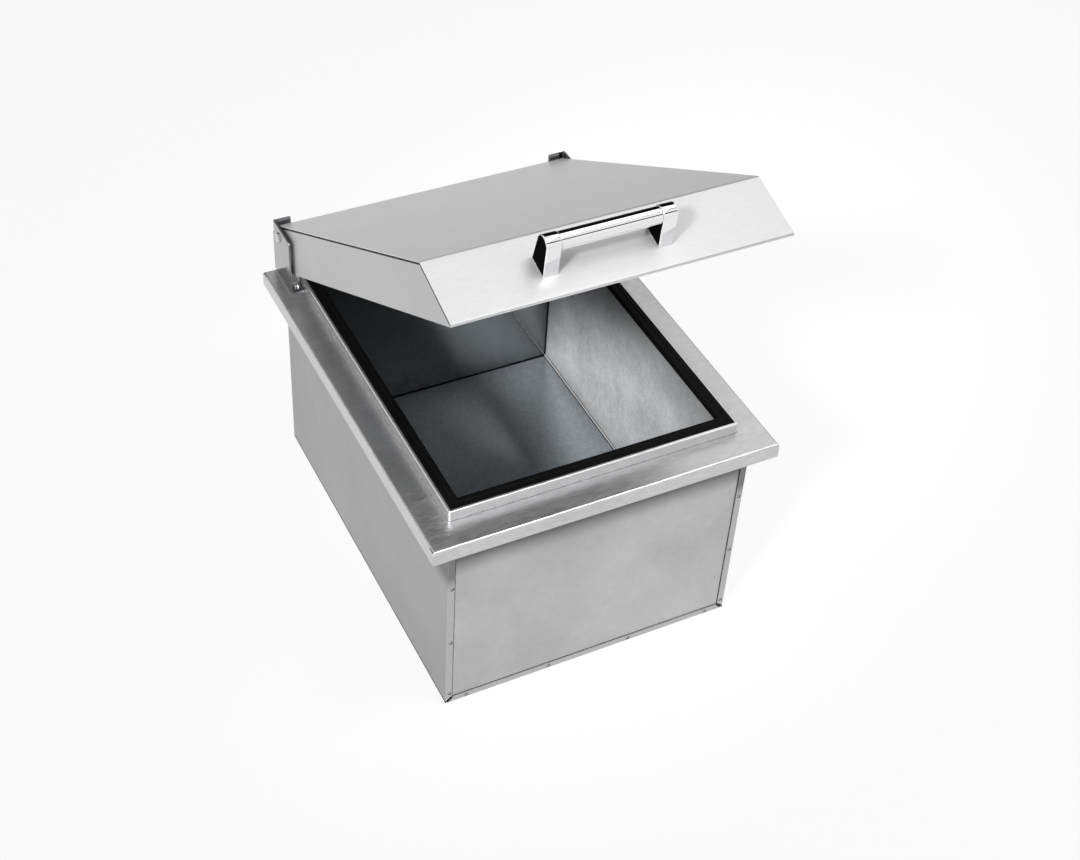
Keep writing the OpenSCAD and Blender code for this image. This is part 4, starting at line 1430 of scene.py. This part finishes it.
@dataclass
class Hinges(Assembly):
    """Hinge brackets, their screws and the pivots."""

    bracket_out: float = 176.0
    foot_x: float = 167.25
    foot_ys: tuple[float, float] = (192.5, 216.5)
    deck_top: float = 250.0
    bracket_t: float = 2.0
    foot_head: tuple[float, float] = (4.7, 2.9)
    pivot_head: tuple[float, float] = (5.4, 2.8)
    arm_half: float = 0.75
    arm_reach: float = 0.58
    arm_depth: float = 1.1
    finishes: dict[str, str] = field(default_factory=lambda: {
        "left_hinge_bracket": "bracket_steel", "right_hinge_bracket": "bracket_steel",
        "bracket_screws": "fastener_steel", "pivot_screws": "fastener_steel",
        "pivot_washers": "washer_nylon", "pivot_nuts": "fastener_steel"})

    def build(self) -> None:
        """Make domed heads for the foot screws and the pivot screws."""
        z, sides = self.deck_top + self.bracket_t, (-1.0, 1.0)
        feet = [(np.array([s * self.foot_x, y, z]), np.array([0.0, 0.0, 1.0])) for s in sides for y in self.foot_ys]
        self._heads("foot_screw_heads", feet, *self.foot_head)
        pivots = [(np.array([s * self.bracket_out, self.lid.pivot_y, self.lid.pivot_z]), np.array([s, 0.0, 0.0]))
                  for s in sides]
        self._heads("pivot_screw_heads", pivots, *self.pivot_head)

    def _heads(self, name: str, places: list[tuple[Array, Array]], radius: float, height: float) -> None:
        """Domed heads with a cross recess, as heights over a disc.

        The dome's height goes with the square root of one minus 0.55 of the second and 0.42 of the eighth
        power of the radius. The recess is sunk where either arm of the cross passes, near the middle.

        Args:
            name: Name of the piece.
            places: Centre of each head's underside, and its direction.
            radius: Radius of a head, in millimetres.
            height: Height of a head.
        """
        steps, spokes = 26, 96
        r = np.linspace(0.02, 1.0, steps)
        turn = np.linspace(0, 2 * math.pi, spokes, endpoint=False)
        a, b = radius * r[:, None] * np.cos(turn), radius * r[:, None] * np.sin(turn)
        dome = height * np.sqrt(np.clip(1 - 0.55 * r ** 2 - 0.42 * r ** 8, 0, 1))[:, None] + 0 * a
        arm = np.clip((self.arm_half - np.minimum(np.abs(a), np.abs(b))) / 0.25, 0, 1)
        reach = np.clip((self.arm_reach * radius - np.hypot(a, b)) / 0.35, 0, 1)
        dome = dome - self.arm_depth * arm * reach
        rings = np.concatenate([np.stack([a, b, dome], axis=-1), np.stack([a[-1:], b[-1:], 0 * a[-1:]], axis=-1)])
        local = rings.reshape(-1, 3)
        quads = grid_quads(steps + 1, spokes, False, True)
        side = np.array([0.0, 1.0, 0.0])
        points, faces = [], []
        for i, (centre, axis) in enumerate(places):
            points.append(centre + local @ np.stack([side, np.cross(axis, side), axis]))
            base = i * len(local)
            faces += (quads + base)[:, ::-1].tolist()
            faces += [list(range(base, base + spokes)),
                      list(range(base + (steps + 1) * spokes - 1, base + steps * spokes - 1, -1))]
        self.shaper.finish(name, np.concatenate(points), faces, Body.COOLER, "fastener_steel", "fastener_steel",
                           sharp_deg=50)


@dataclass
class Lid(Assembly):
    """Lid: folded skin, side cheeks, liner and what is inside."""

    half_w: float = 171.0
    back: float = 223.0
    low: float = 263.0
    front: float = -264.5
    sheet: float = 1.2
    hem: float = 12.0
    bends: tuple[float, ...] = (0.0, 0.3, 2.5, 4.0, 1.8, 0.0)
    finishes: dict[str, str] = field(default_factory=lambda: {
        "lid_skin": "lid_steel", "left_lid_cheek": "cheek_steel", "right_lid_cheek": "cheek_steel",
        "lid_liner": "liner_steel", "lid_insulation": "insulation_foam", "pivot_bushes": "bush_nylon"})

    def build(self) -> None:
        """Make the skin: one sheet from the back hem up, over the top, down the slope to the front hem."""
        corners = [(self.back - self.hem, self.low), (self.back, self.low), (self.back, self.lid.top_z),
                   (self.lid.edge_y, self.lid.top_z), (self.front, self.low), (self.front + self.hem, self.low)]
        path = bend_path(corners, self.bends, steps=10)
        stations = np.linspace(-self.half_w, self.half_w, 41)
        x, y, z, faces = self.shaper.sheet(path, self.sheet, stations)
        points = self.lid.opened(np.stack([x, y, z], axis=1))
        self.shaper.finish("lid_sheet", points, faces, Body.LID, "lid_steel", "lid_steel", ("lid_skin",), bevel=0.25)


@dataclass
class Handle(Assembly):
    """Bar and cast posts on the lid's slope."""

    middle: float = -9.5
    length: float = 130.0
    post_w: float = 15.2
    bar_t: float = 33.5
    bar_n: float = 29.0
    bar_r: float = 8.5
    wall: float = 0.8
    toe: float = 14.8
    socket: float = 7.0
    fillet: float = 1.3
    finishes: dict[str, str] = field(default_factory=lambda: {
        "handle_bar": "handle_chrome", "left_handle_post": "handle_chrome", "right_handle_post": "handle_chrome",
        "handle_screws": "fastener_steel"})

    def build(self) -> None:
        """Make the bar and both posts."""
        self._bar()
        for side, node in ((-1, "left_handle_post"), (1, "right_handle_post")):
            self._post(side, node)

    def _outline(self) -> Array:
        """Post from the side: upright back, round head, and a flared front down to its toe.

        Returns:
            Closed path in t and n, anticlockwise.
        """
        head = self.bar_r + self.wall
        centre = np.array([-self.bar_t, self.bar_n])
        toe = np.array([-self.bar_t - self.toe, 0.0])
        gap = centre - toe
        reach = float(np.hypot(*gap))
        bearing = math.atan2(gap[1], gap[0]) + math.asin(head / reach)
        run = math.sqrt(reach ** 2 - head ** 2)
        touch = toe + run * np.array([math.cos(bearing), math.sin(bearing)])
        last = math.atan2(touch[1] - centre[1], touch[0] - centre[0])
        angles = np.linspace(0, last % (2 * math.pi), 40)
        arc = centre + head * np.stack([np.cos(angles), np.sin(angles)], axis=1)
        back = np.array([[-self.bar_t + head, n] for n in (0.0, 0.3, 8.0, 16.0, 24.0, 28.6)])
        front = touch + np.linspace(0.015, 1.0, 8)[:, None] * (toe - touch)
        foot = np.stack([np.linspace(toe[0], -self.bar_t + head, 8)[1:-1], np.zeros(6)], axis=1)
        return np.concatenate([back, arc, front, foot])

    def _post(self, side: int, node: str) -> None:
        """Make a post as a block of that outline with rounded edges.

        Args:
            side: -1 for left and 1 for right.
            node: CAD node that it stands for.
        """
        along, t, n, faces = self.shaper.rounded_block(self._outline(), self.post_w, self.fillet)
        x = along + self.middle + side * (self.length - self.post_w) / 2
        points = self.lid.off_slope(x, t, np.maximum(n, 0.0))
        self.shaper.finish(node.replace("handle_post", "post_casting"), points, faces, Body.LID,
                           "handle_chrome", "post_chrome", (node,), sharp_deg=40)

    def _bar(self) -> None:
        """Make the bar, whose ends stop inside the posts, with a fine groove where it enters them."""
        half = self.length / 2 - self.post_w + self.socket
        mouth = self.length / 2 - self.post_w
        r = self.bar_r
        right = [(mouth - 1.2, r), (mouth - 0.9, r), (mouth - 0.8, r - 0.45), (mouth - 0.05, r - 0.45),
                 (mouth + 0.05, r - 0.1), (half, r - 0.1)]
        profile = [(-p, q) for p, q in right[::-1]] + [(p, r) for p in np.linspace(-40, 40, 9)] + right
        along, a, b, faces = self.shaper.turned(np.array(profile))
        points = self.lid.off_slope(along + self.middle, a - self.bar_t, b + self.bar_n)
        self.shaper.finish("bar_rod", points, faces, Body.LID, "bar_chrome", "bar_chrome", ("handle_bar",),
                           sharp_deg=60)


# ---------------------------------------------------------------- studio


def facing(place: Point, target: Point) -> Matrix:
    """Place of a thing that looks along its own -Z from one point to another.

    Args:
        place: Where it is, in metres.
        target: Point that it faces.

    Returns:
        Its matrix in the world.
    """
    here = Vector(place)
    return Matrix.Translation(here) @ (Vector(target) - here).to_track_quat("-Z", "Y").to_matrix().to_4x4()


@dataclass
class Studio:
    """Camera, world, floor and lamps, and the cards that only reflections see."""

    camera_place: Point = (-0.66372, -1.27520, 1.46662)
    camera_turn: tuple[float, float, float] = (-0.505582, 0.743488, -0.070008)
    focal_px: float = 1787.5
    frame_px: float = 1080.0
    sensor_mm: float = 36.0
    clip: tuple[float, float] = (0.05, 60.0)
    world_light: float = 0.42
    floor_reach: float = 60.0
    floor_grey: float = 0.95
    floor_glow: float = 0.85
    spot_blend: float = 0.7

    def camera(self) -> None:
        """Place the camera from its turn, tilt and roll, with the lens that fits the frame's width."""
        turn, tilt, roll = self.camera_turn
        forward = np.array([-math.sin(turn) * math.cos(tilt), math.cos(turn) * math.cos(tilt), -math.sin(tilt)])
        level = np.array([math.cos(turn), math.sin(turn), 0.0])
        down = np.cross(forward, level)
        right = math.cos(roll) * level + math.sin(roll) * down
        below = -math.sin(roll) * level + math.cos(roll) * down
        data = bpy.data.cameras.new("camera")
        data.sensor_fit = "HORIZONTAL"
        data.sensor_width = self.sensor_mm
        data.lens = self.focal_px / self.frame_px * self.sensor_mm
        data.clip_start, data.clip_end = self.clip
        eye = add_object("camera", data)
        axes = np.column_stack([right, -below, -forward, self.camera_place])
        eye.matrix_world = Matrix([*axes.tolist(), (0.0, 0.0, 0.0, 1.0)])
        bpy.context.scene.camera = eye

    def world(self) -> None:
        """Make a world that is white where it is seen and softer where it lights."""
        world = bpy.data.worlds.new("studio")
        bpy.context.scene.world = world
        bench = NodeBench(empty_tree(world))
        shell = bench.add("ShaderNodeBackground")
        bench.feed(shell.inputs["Color"], (1.0, 1.0, 1.0, 1.0))
        bench.feed(shell.inputs["Strength"], bench.remap(bench.seen(), 0.0, 1.0, self.world_light, 1.0))
        bench.feed(bench.add("ShaderNodeOutputWorld").inputs["Surface"], shell.outputs["Background"])

    def board(self, name: str, half_w: float, half_h: float, place: Matrix, paint: str) -> tuple[
            bpy.types.Object, NodeBench]:
        """Make a rectangle of the studio, with an empty material.

        Args:
            name: Name of the board.
            half_w: Half of its width, in metres.
            half_h: Half of its height.
            place: Its matrix in the world.
            paint: Name of its material.

        Returns:
            The board and the bench of its material.
        """
        corners = [place @ Vector((a * half_w, b * half_h, 0.0)) for a, b in ((-1, -1), (1, -1), (1, 1), (-1, 1))]
        mesh = bpy.data.meshes.new(name)
        mesh.from_pydata([tuple(corner) for corner in corners], [], [(0, 1, 2, 3)])
        mesh.materials.append(bpy.data.materials.new(paint))
        return add_object(name, mesh), NodeBench(empty_tree(mesh.materials[0]))

    def floor(self) -> None:
        """Lay a pale floor: mostly self-lit white where it is seen, so that only a soft shadow shows."""
        ground, bench = self.board("floor", self.floor_reach, self.floor_reach, Matrix(), "floor_paint")
        matte, glow = bench.add("ShaderNodeBsdfDiffuse"), bench.add("ShaderNodeEmission")
        bench.feed(matte.inputs["Color"], (self.floor_grey, self.floor_grey, self.floor_grey, 1.0))
        mix = bench.add("ShaderNodeMixShader")
        for socket, value in zip(mix.inputs, (bench.seen() * self.floor_glow, matte.outputs[0], glow.outputs[0])):
            bench.feed(socket, value)
        bench.feed(bench.add("ShaderNodeOutputMaterial").inputs["Surface"], mix.outputs[0])

    def lamp(self, name: str, place: Point, target: Point, size: tuple[float, float], watts: float) -> None:
        """Add a soft rectangular lamp.

        Args:
            name: Name of the lamp.
            place: Where it hangs, in metres.
            target: Point that it faces.
            size: Width and height in metres.
            watts: Power.
        """
        data = bpy.data.lights.new(name, "AREA")
        data.shape = "RECTANGLE"
        data.size, data.size_y = size
        data.energy = watts
        add_object(name, data).matrix_world = facing(place, target)

    def spot(self, name: str, place: Point, target: Point, spread_deg: float, watts: float, soft: float) -> None:
        """Add a spotlight with a soft rim.

        Args:
            name: Name of the lamp.
            place: Where it hangs, in metres.
            target: Point that it faces.
            spread_deg: Full angle of its cone.
            watts: Power.
            soft: Radius of its source.
        """
        data = bpy.data.lights.new(name, "SPOT")
        data.energy = watts
        data.spot_size = math.radians(spread_deg)
        data.spot_blend = self.spot_blend
        data.shadow_soft_size = soft
        add_object(name, data).matrix_world = facing(place, target)

    def card(self, name: str, place: Point, target: Point, size: tuple[float, float], shade: float) -> None:
        """Hang a card that only reflections see.

        Args:
            name: Name of the card.
            place: Its centre, in metres.
            target: Point that it faces.
            size: Width and height in metres.
            shade: Grey level of the card, self-lit.
        """
        card, bench = self.board(name, size[0] / 2, size[1] / 2, facing(place, target), name)
        glow = bench.add("ShaderNodeEmission")
        bench.feed(glow.inputs["Color"], (shade, shade, shade, 1.0))
        bench.feed(bench.add("ShaderNodeOutputMaterial").inputs["Surface"], glow.outputs[0])
        card.visible_camera = card.visible_diffuse = card.visible_shadow = card.visible_transmission = False

    def build(self) -> None:
        """Set up camera, world, floor, lamps and cards."""
        self.camera()
        self.world()
        self.floor()
        self.lamp("key_softbox", (0.5, -0.72, 2.35), (0.0, -0.15, 0.35), (0.85, 0.5), 22.0)
        self.lamp("overhead_softbox", (1.4, 0.10, 2.3), (0.1, -0.15, 0.45), (1.4, 1.3), 3.5)
        self.spot("tub_spot", (-1.40, -0.90, 1.50), (0.146, 0.135, 0.13), 13.0, 710.0, 0.40)
        self.card("back_flag", (0.5, 1.35, 0.70), (0.5, 0.0, 0.70), (2.4, 1.2), 0.25)
        self.card("handle_flag", (0.135, 0.046, 0.708), (0.135, -0.195, 0.53), (0.26, 0.31), 0.005)
        self.card("front_strip", (0.70, -0.60, 1.97), (0.70, -0.19, 0.53), (2.4, 0.19), 0.04)
        self.card("front_flag", (0.73, -1.56, 1.60), (0.73, 0.0, 0.20), (1.8, 0.34), 0.02)
        self.card("left_flag", (-0.76, 1.91, 1.83), (-0.16, 0.16, 0.29), (1.5, 1.2), 0.01)
        self.card("right_flag", (2.2, 2.0, 0.45), (0.1, 0.0, 0.25), (2.5, 1.1), 0.03)
        bpy.context.scene.view_settings.view_transform = "Standard"


def main() -> None:
    """Load the frame, build the studio and every assembly."""
    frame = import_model()
    nodes = {node: bpy.data.objects[node] for node in frame["nodes"]}
    Studio().build()
    shaper = Shaper(Wardrobe())
    for kind in (Deck, Tub, Casing, Hinges, Lid, Handle):
        assembly = kind(shaper, nodes)
        assembly.dress()
        assembly.build()


if __name__ == "__main__":
    main()
